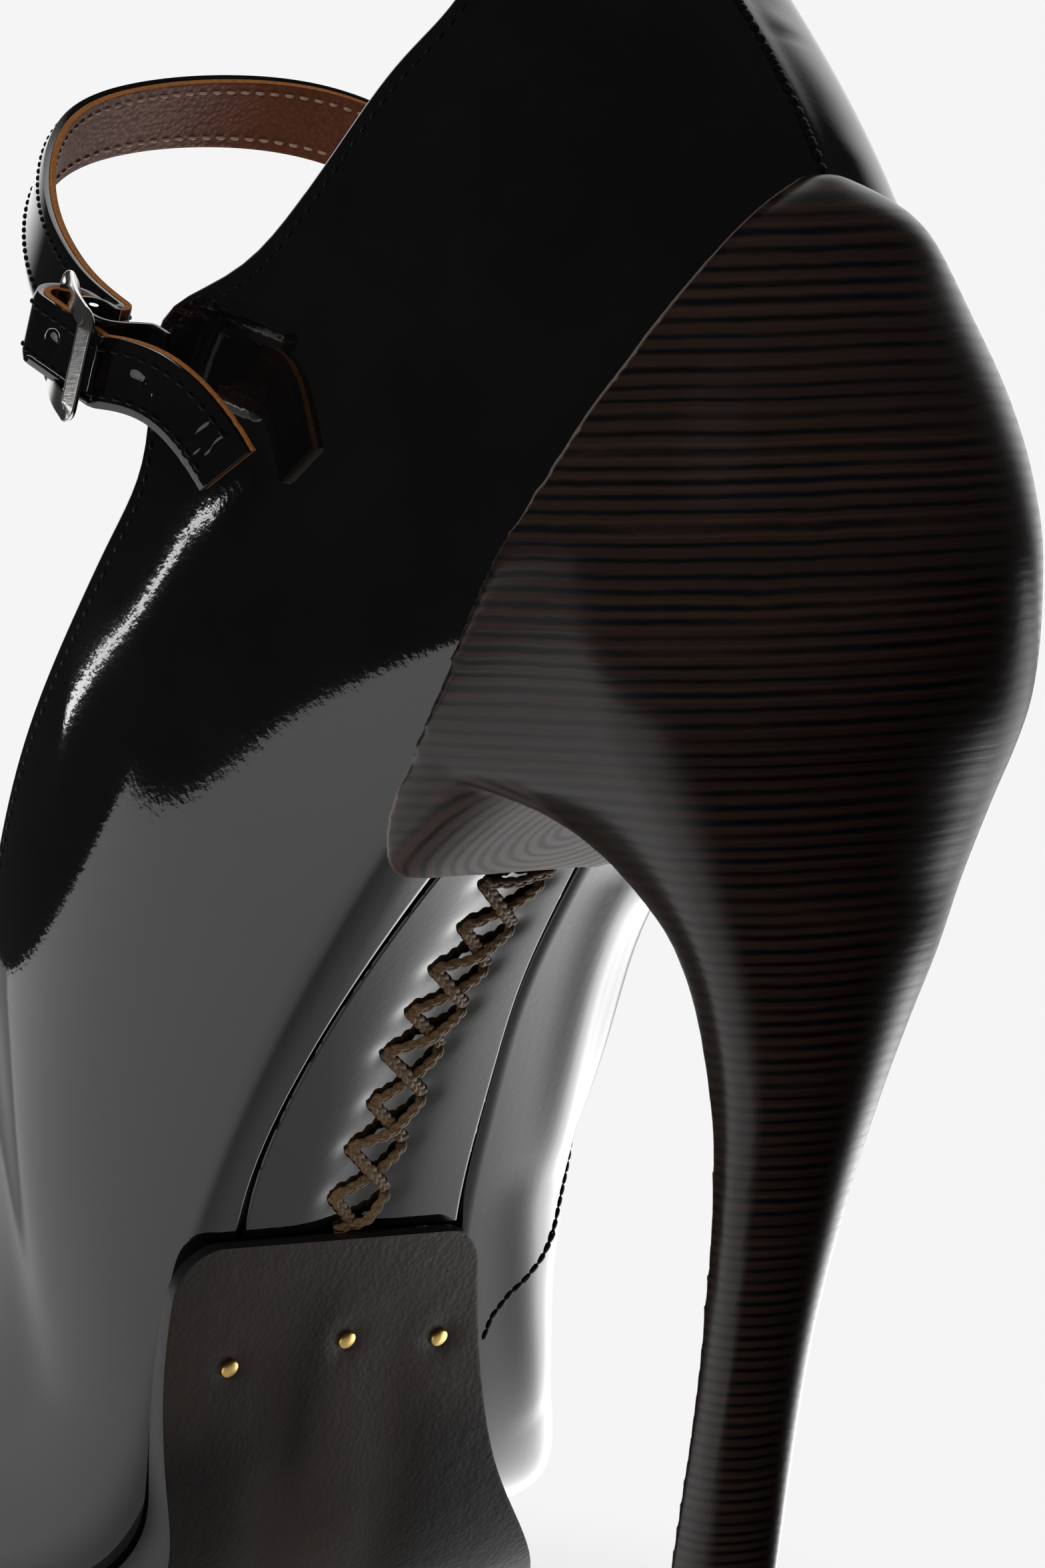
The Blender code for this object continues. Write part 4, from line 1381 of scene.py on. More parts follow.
@dataclass
class Upper:
    """Patent upper: one wall with a chestnut lining, open at the collar and throat."""

    last: Last
    wall: float = 1.8
    rings: int = 400
    low_rows: int = 50
    edge_rows: int = 22
    edge_share: float = 0.90
    seam_inset: float = 2.0
    back_seam_low: float = 0.62
    back_seam: Pair = (0.03, 0.095)
    seam_fade: float = 0.08
    seam_ridge: Pair = (0.30, 0.05)
    pucker: float = 0.05
    pucker_place: Pair = (0.16, 0.08)
    pucker_wave: Tuple[float, float, float, float] = (1.7, 9.0, 1.2, 0.6)
    edge_bevel: Bevel = (0.45, 2, 60.0)
    side_seam: Tuple[Pair, ...] = (
        (0.592, 0.05), (0.582, 0.07), (0.573, 0.11), (0.565, 0.17), (0.556, 0.27), (0.545, 0.38),
        (0.530, 0.52), (0.512, 0.68), (0.495, 0.84), (0.482, 0.985))

    def heights(self) -> Array:
        """Shares of the wall's height of the rows, closer near the edge."""
        low = np.linspace(0, self.edge_share, self.low_rows, endpoint=False)
        return np.concatenate([low, np.linspace(self.edge_share, 1, self.edge_rows + 1)])

    def below_edge(self, theta: Array, depth: float) -> Array:
        """Share of the wall's height that lies a distance below the topline.

        Args:
            theta: Angles round the shoe.
            depth: Distance in millimetres.

        Returns:
            The shares.
        """
        shares = np.linspace(0.8, 1.0, 41)
        lines = self.last.skin(theta[:, None], shares[None, :])
        runs = np.cumsum(np.linalg.norm(np.diff(lines[:, ::-1], axis=1), axis=2), axis=1)
        return np.array([np.interp(depth, run, shares[::-1][1:]) for run in runs])

    def relief(self, theta: Array, height: Array, points: Array) -> Array:
        """Height of creases, puckers and sewn grooves off the smooth wall.

        Args:
            theta: Angles round the shoe.
            height: Shares of the wall's height.
            points: Points of the wall in the drawing.

        Returns:
            Height in millimetres.
        """
        total = sum(crease.height(self.last, points) for crease in CREASES)
        seam = np.interp(height, (self.back_seam_low, 1.0), self.back_seam)
        off_seam = np.mod(math.pi - theta, 2 * math.pi) - math.pi - seam
        above = soft_step(height, self.back_seam_low, self.back_seam_low + self.seam_fade)
        rise, (place, reach), (ridge, ridge_reach) = points[..., 2], self.pucker_place, self.seam_ridge
        pitch, slant, wander, slow = self.pucker_wave
        wave = np.sin(rise * pitch + slant * off_seam + wander * np.sin(rise * slow))
        total = total + above * self.pucker * wave * bell(off_seam - place, reach)
        return total + above * ridge * bell(off_seam, ridge_reach)

    def place(self, theta: Array, height: Array, lift: float = 0.0) -> Array:
        """Points of the finished wall, lifted off it.

        Args:
            theta: Angles round the shoe.
            height: Shares of the wall's height.
            lift: Height off the wall in millimetres.

        Returns:
            Points in the drawing.
        """
        points = self.last.skin(theta, height)
        lifts = self.relief(theta, height, points) + lift
        return points + self.last.normal(theta, height) * lifts[..., None]

    def build(self, patent: Material, lining: Material) -> None:
        """Wrap the wall, line it and round its edge.

        Args:
            patent: Material of the patent side.
            lining: Material of the inside.
        """
        heights = self.heights()

        def wrap(s: Array, t: Array) -> Array:
            """Points at shares of the sheet's two directions.

            Args:
                s: Shares along the sheet's first direction.
                t: Shares along its second direction.

            Returns:
                Points in the drawing.
            """
            theta = 2 * math.pi * (1 - s)
            theta[s == 1.0] = 2 * math.pi
            row = np.round(t * (len(heights) - 1)).astype(int)
            return self.place(theta, heights[row])

        obj = Bench.sheet("upper_shell", (self.rings, len(heights) - 1), wrap)
        Bench.edit(obj, Bench.merge)
        Bench.make_up(obj, (patent, lining), self.wall, self.edge_bevel, 50.0)
        Bench.hand_over(obj, Slot.UPPER, "upper")

    def sewn(self, name: str, stitch: Stitch, theta: Array, height: Array, slant: float = 0.0) -> Piece:
        """One row of stitches along places of the wall."""
        return stitch.row(name, self.place(theta, height), self.last.normal(theta, height), slant)

    def sew(self, thread: Material) -> None:
        """Sew the rows along the topline, the back seam and the medial side seam.

        Args:
            thread: Material of the thread.
        """
        start = self.back_seam[0]
        theta = np.linspace(start, 2 * math.pi - start, 900)
        rows = [self.sewn("topline_row", TOP_STITCH, theta, self.below_edge(theta, self.seam_inset))]
        rise = np.linspace(self.back_seam_low + 0.03, 0.975, 120)
        at = 2 * math.pi - np.interp(rise, (self.back_seam_low, 1.0), self.back_seam)
        for k, (stitch, slant) in enumerate(BACK_STITCHES):
            rows.append(self.sewn("back_row_%d" % k, stitch, at, rise, slant))
        seam = np.array(self.side_seam)
        u, rise = read_off(np.linspace(0, len(seam) - 1, 160), np.arange(len(seam)), seam).T
        rows.append(self.sewn("side_row", SIDE_STITCH, self.last.angle(u, Side.MEDIAL), rise))
        obj = Bench.join("upper_stitches", rows)
        Bench.dress(obj, thread)
        Bench.hand_over(obj, Slot.UPPER)


@dataclass
class Insole:
    """Chestnut sock on the lining board."""

    last: Last
    thick: float = 2.0
    lift: float = 2.8
    inset: float = 5.4
    ends: Pair = (0.03, 0.97)
    edge_bevel: Bevel = (0.4, 2, 55.0)

    def build(self, lining: Material) -> None:
        """Lay the board on the turned-in margin.

        Args:
            lining: Material of the inside.
        """
        def wrap(s: Array, t: Array) -> Array:
            """Points at shares of the sheet's two directions.

            Args:
                s: Shares along the sheet's first direction.
                t: Shares along its second direction.

            Returns:
                Points in the drawing.
            """
            theta = (self.ends[0] + (self.ends[1] - self.ends[0]) * s) * math.pi
            sides = [self.last.on_bottom(self.last.feather(a) - self.last.outward(a) * self.inset)
                     for a in (2 * math.pi - theta, theta)]
            points = sides[0] + (sides[1] - sides[0]) * t[:, None]
            return points + self.last.up(self.last.turn(theta)[0]) * (self.lift + self.thick)

        obj = Bench.sheet("insole_sock", (90, 24), wrap)
        Bench.make_up(obj, (lining,), self.thick, self.edge_bevel)
        Bench.hand_over(obj, Slot.INSOLE, "insole")


@dataclass
class Waist:
    """Patent strip under the arch with its plaited cross-stitch and dark grooves, whose dark beds stand in
    partly for the shade down in them and partly for their own dark channel.
    """

    last: Last
    thick: float = 1.6
    groove: float = 0.9
    bed: float = 0.75
    rear: float = 0.327
    front: float = 0.537
    hole_width: float = 1.5
    hole_depth: float = 0.15
    plait_width: float = 0.356
    plait_height: float = 0.10
    ply: float = 0.356
    plait_length: float = 4.2
    trough_width: float = 4.5
    trough_depth: float = 0.45
    thread_lie: float = 0.3
    thread_sink: float = 0.7
    thread_dive: float = 0.10
    first_hole: Pair = (-0.006, 0.8)
    groove_ease: float = 0.4
    ply_flat: float = 1.15
    thread_hop: Triple = (0.6, 0.55, 0.22)
    bow_steep: float = 0.5
    bow_flat: float = 0.78
    edge_bevel: Bevel = (0.3, 2, 55.0)
    left_holes: Tuple[Pair, ...] = (
        (0.3581, -5.3), (0.3842, -4.3), (0.4073, -4.9), (0.4289, -5.0), (0.4484, -5.5),
        (0.4721, -3.9), (0.4928, -4.2), (0.5153, -3.6), (0.5330, -1.2))
    right_holes: Tuple[Pair, ...] = (
        (0.3600, 3.1), (0.3875, 3.0), (0.4095, 2.7), (0.4300, 2.8), (0.4486, 2.4),
        (0.4722, 3.4), (0.4935, 3.6), (0.5165, 4.1), (0.5310, 1.2))

    def groove_edge(self, u: Array, side: Side) -> Array:
        """Sideways place of the edge that the turned-in margin leaves open.

        Args:
            u: Sections of the last.
            side: Side of the shoe.

        Returns:
            Places across.
        """
        theta = self.last.angle(u, side)
        margin = self.last.foot("margin_" + side.name.lower(), u)
        return self.last.feather(theta)[..., 1] - side.value * margin

    def dimples(self, u: Array, y: Array) -> Array:
        """Depth of the leather pulled in round the thread's holes.

        Args:
            u: Sections of the last.
            y: Places across, off the middle line.

        Returns:
            Depth in millimetres.
        """
        points = self.last.bottom(u, y)
        middle = np.interp(u, *np.mean([self.left_holes, self.right_holes], axis=0).T)
        total = self.trough_depth * bell(y - middle, self.trough_width)
        for hole in (*self.left_holes, *self.right_holes):
            away = np.linalg.norm(points - self.last.bottom(*np.array(hole)), axis=-1)
            total = total + self.hole_depth * bell(away, self.hole_width)
        return total

    def strip(self, name: str, counts: Tuple[int, int], edges: Callable[[Array], Tuple[Array, Array]],
              depth: float, dimpled: bool) -> Piece:
        """Sheet along the waist between two edges, facing down.

        Args:
            name: Name of the sheet.
            counts: Faces along and across.
            edges: Sideways places of the two edges at sections.
            depth: Depth above the bottom's surface.
            dimpled: Whether the thread's holes pull it in.

        Returns:
            The sheet.
        """
        def wrap(s: Array, t: Array) -> Array:
            """Points at shares of the sheet's two directions.

            Args:
                s: Shares along the sheet's first direction.
                t: Shares along its second direction.

            Returns:
                Points in the drawing.
            """
            u = self.rear + (self.front - self.rear) * s
            left, right = edges(u)
            y = left + (right - left) * t
            lift = depth + (self.dimples(u, y) if dimpled else 0.0)
            return self.last.bottom(u, y) + self.last.up(u) * np.broadcast_to(lift, u.shape)[:, None]

        return Bench.sheet(name, counts, wrap)

    def build(self, patent: Material, dark: Material) -> None:
        """Lay the strip and the dark beds of the grooves, which stand in partly for the shade in them and
        partly for their dark channel.

        Args:
            patent: Material of the strip.
            dark: Material of the grooves' beds.
        """
        def strip_edges(u: Array) -> Tuple[Array, Array]:
            """The strip's own edges, a groove's width inside.

            Args:
                u: Sections of the last.

            Returns:
                Places across of both edges.
            """
            along = (2 * u - self.rear - self.front) / (self.front - self.rear)
            gap = self.groove * (self.groove_ease + (1 - self.groove_ease) * along ** 2)
            return self.groove_edge(u, Side.LATERAL) + gap, self.groove_edge(u, Side.MEDIAL) - gap

        cover = self.strip("waist_strip", (150, 64), strip_edges, 0.0, True)
        Bench.make_up(cover, (patent,), self.thick, self.edge_bevel)
        Bench.hand_over(cover, Slot.COVER, "waist_cover")
        # Dark beds under the grooves: partly painted shade for the gaps, partly the channel's own dark.
        beds = []
        for side in Side:
            def bed_edges(u: Array, side: Side = side) -> Tuple[Array, Array]:
                """Both edges of one groove."""
                edge = self.groove_edge(u, side)
                return tuple(sorted((edge, edge - side.value * self.groove), key=lambda y: y[0]))

            bed = self.strip("groove_bed_" + side.name.lower(), (60, 1), bed_edges, self.bed, False)
            Bench.thicken(bed, 0.5)
            beds.append(bed)
        grooves = Bench.join("groove_beds", beds)
        Bench.dress(grooves, dark)
        Bench.hand_over(grooves, Slot.COVER)

    def strand(self, start: Pair, end: Pair, over: bool,
               bow: float, name: str) -> List[Piece]:
        """Plait one strand of the cross-stitch.

        Args:
            start: Section and sideways place of its first hole.
            end: Section and sideways place of its last hole.
            over: Whether it passes over the strand that it crosses.
            bow: How far it bends off the straight, 0.5 for none.
            name: Name of the strand.

        Returns:
            The strand's plies.
        """
        knee = (start[0] + (end[0] - start[0]) * bow, start[1] + (end[1] - start[1]) * (1 - bow))

        def centre(s: Array) -> Tuple[Array, Array]:
            """Middle line of the strand and the direction out of the leather.

            Args:
                s: Shares along the strand.

            Returns:
                The points and the directions.
            """
            u, y = ((1 - s) ** 2 * a + 2 * s * (1 - s) * k + s * s * b for a, k, b in zip(start, knee, end))
            shown = soft_step(np.minimum(s, 1 - s), 0.0, self.thread_dive)
            hop, place, reach = self.thread_hop
            rise = self.thread_lie - self.dimples(u, y) - self.thread_sink * (1 - shown)
            rise = rise + (hop * bell(s - place, reach) if over else 0.0)
            out = -self.last.up(u)
            return self.last.bottom(u, y) + out * rise[..., None], out

        length = np.linalg.norm(np.diff(self.last.bottom(*np.array([start, end]).T), axis=0))
        turns = length / self.plait_length

        def ply(k: int) -> Piece:
            """One ply, a third of a turn from the next.

            Args:
                k: Number of the ply.

            Returns:
                The ply.
            """
            def wrap(s: Array, t: Array) -> Array:
                """Points at shares of the sheet's two directions.

                Args:
                    s: Shares along the sheet's first direction.
                    t: Shares along its second direction.

                Returns:
                    Points in the drawing.
                """
                points, out = centre(s)
                step = 0.004
                way = unit(centre(s + step)[0] - centre(s - step)[0])
                across = unit(np.cross(out, way))
                out = np.cross(way, across)
                phase = 2 * math.pi * (turns * s + k / 3)
                points = (points + across * (self.plait_width * np.sin(phase))[:, None]
                          + out * (self.plait_height * np.sin(2 * phase))[:, None])
                angle = -2 * math.pi * t
                return points + self.ply * (across * np.cos(angle)[:, None] * self.ply_flat
                                            + out * np.sin(angle)[:, None])

            obj = Bench.sheet("%s_%d" % (name, k), (40, 7), wrap)
            Bench.edit(obj, Bench.merge, Bench.face_out)
            return obj

        return [ply(k) for k in range(3)]

    def lace(self, thread: Material) -> None:
        """Sew the cross-stitch: strands that cross over and under by turns.

        Args:
            thread: Material of the thread.
        """
        left, right = self.left_holes, self.right_holes
        first = (right[0][0] + self.first_hole[0], right[0][1] + self.first_hole[1])
        plies = self.strand(first, left[0], True, self.bow_steep, "first")
        for i in range(len(left) - 1):
            over = i % 2 == 0
            plies += self.strand(left[i], right[i + 1], over, self.bow_steep, "steep_%d" % i)
            plies += self.strand(right[i], left[i + 1], not over, self.bow_flat, "flat_%d" % i)
        obj = Bench.join("cross_stitch", plies)
        Bench.dress(obj, thread)
        Bench.smooth(obj, 80.0)
        Bench.hand_over(obj, Slot.COVER)


@dataclass
class Outsole:
    """Leather forepart with a black edge, thickening into a low platform at the ball."""

    last: Last
    rear: float = 0.531
    front: float = 0.9995
    gap: float = 0.3
    corner_lateral: Pair = (0.020, 5.5)
    corner_medial: Pair = (0.018, 4.0)
    rear_dense: float = 1.7
    nail_dimple: float = 0.42
    rear_skew: float = 0.009
    nails: Tuple[Tuple[str, float, float], ...] = (
        ("nail_lateral", 0.586, -12.0), ("nail_middle", 0.582, 3.8), ("nail_medial", 0.5895, 17.3))
    nail_radius: float = 1.10
    nail_length: float = 1.6
    nail_dome: float = 0.45
    nail_proud: float = 0.042
    nail_reach: float = 2.1
    table_ease: float = 0.015
    trough_from: float = 0.58
    troughs: Tuple[Tuple[float, float, float, float], ...] = (
        (0.35, -8.0, 60.0, 4.0), (0.30, 10.0, 40.0, 4.5))
    # Bands of painted shade on the tread, where its sheen would miss the lit floor.
    stain_middle: Tuple[float, float, float, float] = (-0.8, 8.0, 0.555, 2.8)
    stain_share: float = 0.75
    stain_start: Pair = (0.530, 0.555)
    stain_end: Pair = (0.60, 0.64)
    inside: Pair = (0.55, 0.60)
    stain_sides: Tuple[Tuple[int, float, float, float, float], ...] = (
        (-1, 1.5, 9.0, 0.572, 0.612), (1, 12.0, 8.0, 0.580, 0.615))
    edge_bevel: Bevel = (0.5, 3, 50.0)

    def __post_init__(self) -> None:
        """Prepare the smooth table."""
        self.table = Curves(SOLE, self.table_ease)

    def edge(self, u: Array, side: Side) -> Array:
        """Sideways place of the edge, rounded at the rear corners.

        Args:
            u: Sections of the last.
            side: Side of the shoe.

        Returns:
            Places across.
        """
        run, inset = self.corner_lateral if side is Side.LATERAL else self.corner_medial
        share = np.clip((u - self.rear) / run, 0, 1)
        corner = inset * (1 - np.sqrt(1 - (1 - share) ** 2))
        half = (self.last.foot(side.name.lower(), u) + self.table("over_" + side.name.lower(), u))
        half = half * self.last.rounded(u, self.last.heel_round, self.last.toe_round)
        return self.last.foot("axis", u) + side.value * (half - corner)

    def relief(self, u: Array, y: Array) -> Array:
        """How far the tread is pressed in: dimples round the nails and soft troughs.

        Args:
            u: Sections of the last.
            y: Places across, off the middle line.

        Returns:
            Depth in millimetres.
        """
        points = self.last.bottom(u, y)
        total = np.zeros(len(points))
        for _, nail_u, nail_y in self.nails:
            away = np.linalg.norm(points - self.last.bottom(nail_u, nail_y), axis=-1)
            total = np.maximum(total, self.nail_dimple * bell(away, self.nail_reach))
        inside = soft_step(u, *self.inside)
        for depth, start, slant, width in self.troughs:
            total += depth * inside * bell(y - start - slant * (u - self.trough_from), width)
        return total

    def tread_point(self, u: Array, y: Array) -> Array:
        """Points of the tread.

        Args:
            u: Sections of the last.
            y: Places across, off the middle line.

        Returns:
            Points in the drawing.
        """
        lift = self.relief(u, y) - self.gap - self.table("thick", u)
        points = self.last.bottom(u, y) + self.last.up(u) * lift[:, None]
        points[:, 2] = np.maximum(points[:, 2], 0.0)
        return points

    def build(self, tread: Material, edge: Material) -> None:
        """Cut the sole and shape its tread.

        Args:
            tread: Material of the tread.
            edge: Material of the cut edge.
        """
        first, final = np.arccos(1 - 2 * self.rear), np.arccos(1 - 2 * self.front)
        tops = []

        def wrap(s: Array, t: Array) -> Array:
            """Points at shares of the sheet's two directions.

            Args:
                s: Shares along the sheet's first direction.
                t: Shares along its second direction.

            Returns:
                Points in the drawing.
            """
            run = s ** self.rear_dense
            u = (1 - np.cos(first + (final - first) * run)) / 2
            left, right = self.edge(u, Side.LATERAL), self.edge(u, Side.MEDIAL)
            y = left + (right - left) * t
            u = u + self.rear_skew * (t - 0.4) * (1 - run) ** 10
            tops.append(self.last.bottom(u, y) - self.last.up(u) * self.gap)
            return self.tread_point(u, y)

        obj = Bench.sheet("sole_forepart", (150, 96), wrap)
        Bench.dress(obj, tread, edge)
        Bench.thicken(obj, 1.0, inner=0, rim=1)
        points = Bench.points(obj)
        points[len(points) // 2:] = to_frame(tops[0])
        Bench.set_points(obj, points)
        Bench.ease(obj, *self.edge_bevel)
        Bench.smooth(obj)
        self.stain(obj)
        Bench.hand_over(obj, Slot.SOLE, "outsole")

    def stain(self, obj: Piece) -> None:
        """Note at each point how much painted shade darkens the tread, in bands where its sheen would miss
        the lit floor.

        Args:
            obj: The sole.
        """
        points = Bench.points(obj) / MM - SHIFT
        sections = np.linspace(0.5, 1.0, 201)
        u = np.interp(-points[:, 0], -self.last.foot("x", sections), sections)
        y = points[:, 1]
        start, slant, at, width = self.stain_middle
        middle = bell(y - start - slant * (u - at), width)
        burnish = self.stain_share * middle * soft_step(u, *self.stain_start)
        burnish = burnish * (1 - soft_step(u, *self.stain_end))
        for side, start, reach, low, high in self.stain_sides:
            burnish = burnish + soft_step(side * y - start, 0.0, reach) * soft_step(u, low, high)
        Bench.note(obj, "burnish", np.clip(burnish, 0.0, 1.0))

    def nail(self, brass: Material) -> None:
        """Set the three brass nails, each with a filed, slightly domed face.

        Args:
            brass: Material of the nails.
        """
        for name, u, y in self.nails:
            at, across = np.array([u]), np.array([y])
            bpy.ops.object.select_all(action="DESELECT")
            bpy.ops.mesh.primitive_cylinder_add(vertices=40, radius=self.nail_radius * MM,
                                                depth=self.nail_length * MM)
            obj = bpy.context.object
            obj.name = obj.data.name = name + "_head"
            Bench.ease(obj, 0.16, 3, 60.0)
            points = Bench.points(obj)
            rim = np.linalg.norm(points[:, :2], axis=1) / (self.nail_radius * MM)
            points[:, 2] -= np.where(points[:, 2] < 0, self.nail_dome * MM * (1 - rim ** 2), 0.0)
            up = self.last.up(at)
            turn = np.array(Vector(up[0]).to_track_quat("Z", "Y").to_matrix())
            sunk = self.gap + self.table("thick", at) - self.nail_proud - self.nail_length / 2
            centre = to_frame(self.last.bottom(at, across) - up * sunk[:, None])[0]
            Bench.set_points(obj, points @ turn.T + centre)
            Bench.dress(obj, brass)
            Bench.smooth(obj)
            Bench.hand_over(obj, Slot.NAIL, name)


@dataclass
class Heel:
    """Heel of layered wood: a leaning column that swells into a cup round the upper."""

    last: Last
    gap: float = 0.3
    knee: float = 0.4
    side_steps: int = 48
    front_steps: int = 14
    levels: int = 190
    lip_front: float = 0.347
    tongue_rear: float = 0.08
    tongue_round: float = 0.08
    tongue_nose: float = 0.22
    tongue_side: float = 4.9 / 12
    tongue_camber: float = 2.0
    tongue_thick: float = 3.4
    tongue_sunk: float = 1.0
    voxel: float = 0.62
    ease: float = 1.1
    rim_reach: float = 2.0
    zip_rows: float = 0.05
    peak_shift: float = 1.5
    scoop: Triple = (-26.5, -3.0, 101.5)
    scoop_pitch: float = 0.65
    peak_rise: Pair = (150.0, 166.0)
    under_slope: Pair = (0.45, 0.75)
    under_ahead: Pair = (10.0, 14.0)

    def __post_init__(self) -> None:
        """Prepare the smooth table."""
        self.table = Curves(HEEL, self.ease)

    def outline(self, s: Array, t: Array) -> Array:
        """Points of the column: round each level, from the tip to the peak.

        Args:
            s: Shares along the sheet's first direction.
            t: Shares along its second direction.

        Returns:
            Points in the drawing.
        """
        z = HEEL[0].z + (HEEL[-1].z - HEEL[0].z) * t
        row = {name: self.table(name, z) for name in self.table.values}
        around = s * (2 * self.side_steps + self.front_steps)
        side = np.where(around <= self.side_steps, -1.0, 1.0)
        step = np.clip(np.where(side < 0, around, 2 * self.side_steps - around) / self.side_steps, 0, 1)
        lead = np.clip(step / self.knee, 0, 1)
        angle = np.clip((step - self.knee) / (1 - self.knee), 0, 1) * math.pi / 2
        front = step < self.knee
        x = np.where(front, row["front"] + (row["widest"] - row["front"]) * lead,
                     row["widest"] + (row["back"] - row["widest"]) * np.sin(angle))
        swell = (row["half"] - row["front_half"]) * np.sin(lead * math.pi / 2)
        half = np.where(front, row["front_half"] + swell, row["half"] * np.cos(angle))
        breast = np.clip((around - 2 * self.side_steps) / self.front_steps, 0, 1)
        across = 1 - 2 * breast
        on_breast = around > 2 * self.side_steps
        x = np.where(on_breast, row["front"] + row["hollow"] * (1 - across ** 2), x)
        y = np.where(on_breast, row["front_half"] * across, side * half)
        return np.stack([x, y + self.peak_shift * soft_step(z, *self.peak_rise), z], -1)

    def tongue(self, s: Array, t: Array) -> Array:
        """Points of the spoon that runs forward under the waist and laps up its sides.

        Args:
            s: Shares along the sheet's first direction.
            t: Shares along its second direction.

        Returns:
            Points in the drawing.
        """
        u = self.lip_front - (self.lip_front - self.tongue_rear) * t ** 2
        ahead = np.clip((self.lip_front - u) / self.tongue_round, 0, 1)
        full = self.tongue_nose + (1 - self.tongue_nose) * np.sqrt(1 - (1 - ahead) ** 2)
        loop = np.where(s < 0.5, 4 * s - 1, 3 - 4 * s)
        theta = np.where(loop < 0, self.last.angle(u, Side.LATERAL), self.last.angle(u, Side.MEDIAL))
        share = np.abs(loop)
        outer = (s < 0.5) | (s == 1)
        crown = self.tongue_thick * full * (1 - share ** self.tongue_camber)
        return self.last.off_skin(theta, self.tongue_side * full * share,
                                  np.where(outer, crown, -self.tongue_sunk))

    def filled_last(self, s: Array, t: Array) -> Array:
        """Points of the filled upper, a fit gap larger, zipped along its middle.

        Args:
            s: Shares along the sheet's first direction.
            t: Shares along its second direction.

        Returns:
            Points in the drawing.
        """
        theta = 2 * math.pi * s
        height = np.clip(t * (1 + 2 * self.zip_rows) - self.zip_rows, 0, 1)
        points = self.last.off_skin(theta, height, np.full_like(s, self.gap))
        u = np.round(self.last.turn(theta)[0], 9)
        base = self.last.bottom(u, self.last.foot("axis", u))
        crown = np.stack([self.last.top("x", u), self.last.top("axis", u), self.last.top("z", u)], -1)
        points = np.where((t == 0)[:, None], base, points)
        return np.where((t == 1)[:, None], crown, points)

    def solid(self, name: str, counts: Tuple[int, int], place: Place, ends: bool) -> Piece:
        """Closed shape from a wrapped grid.

        Args:
            name: Name of the piece.
            counts: Faces along the two directions.
            place: Points of the drawing at shares of the two directions.
            ends: Whether its open ends are filled.

        Returns:
            The shape.
        """
        obj = Bench.sheet(name, counts, place)
        steps = (Bench.merge, Bench.close_ends, Bench.face_out) if ends else (Bench.merge, Bench.face_out)
        Bench.edit(obj, *steps)
        return obj

    def mark_rim(self, obj: Piece, seat: Piece) -> None:
        """Note at each point its layer of wood, how far it lies from the cup's cut edge, where a highlight
        is painted, and how far it faces down, where the underside is painted lighter.

        Args:
            obj: The heel, cut.
            seat: The shape that it was cut with.
        """
        cut = BVHTree.FromPolygons([point.co for point in seat.data.vertices],
                                   [face.vertices for face in seat.data.polygons])
        inner, outer = set(), set()
        for face in obj.data.polygons:
            on_seat = cut.find_nearest(face.center)[3] < self.gap * 0.1 * MM
            (inner if on_seat else outer).update(face.vertices)
        edge = sorted(inner & outer)
        tree = KDTree(len(edge))
        for i in edge:
            tree.insert(obj.data.vertices[i].co, i)
        tree.balance()
        far = [min(tree.find(point.co)[2] / MM, self.rim_reach) for point in obj.data.vertices]
        points = Bench.points(obj) / MM - SHIFT
        normals = np.empty(points.size)
        obj.data.vertices.foreach_get("normal", normals)
        down = soft_step(-normals.reshape(-1, 3)[:, 2], *self.under_slope)
        Bench.note(obj, "rim", far)
        Bench.note(obj, "under", down * soft_step(-points[:, 0], *self.under_ahead))
        Bench.note(obj, "scoop", np.linalg.norm(points - np.array(self.scoop), axis=1) * self.scoop_pitch)

    def build(self, wood: Material) -> None:
        """Turn the column, join the tongue, seat the upper and sand it all smooth.

        Args:
            wood: Material of the heel.
        """
        around = 2 * self.side_steps + self.front_steps
        obj = self.solid("heel_block", (around, self.levels), self.outline, True)
        tongue = self.solid("tongue_shape", (64, 48), self.tongue, True)
        seat = self.solid("seat_shape", (260, 66), self.filled_last, False)
        Bench.modify(obj, "BOOLEAN", operation="UNION", object=tongue, solver="MANIFOLD")
        Bench.modify(obj, "REMESH", mode="VOXEL", voxel_size=self.voxel * MM)
        Bench.modify(obj, "SMOOTH", factor=0.5, iterations=6)
        Bench.modify(obj, "BOOLEAN", operation="DIFFERENCE", object=seat, solver="MANIFOLD")
        self.mark_rim(obj, seat)
        Bench.discard(tongue, seat)
        Bench.dress(obj, wood)
        Bench.smooth(obj, 70.0)
        Bench.hand_over(obj, Slot.HEEL, "heel")


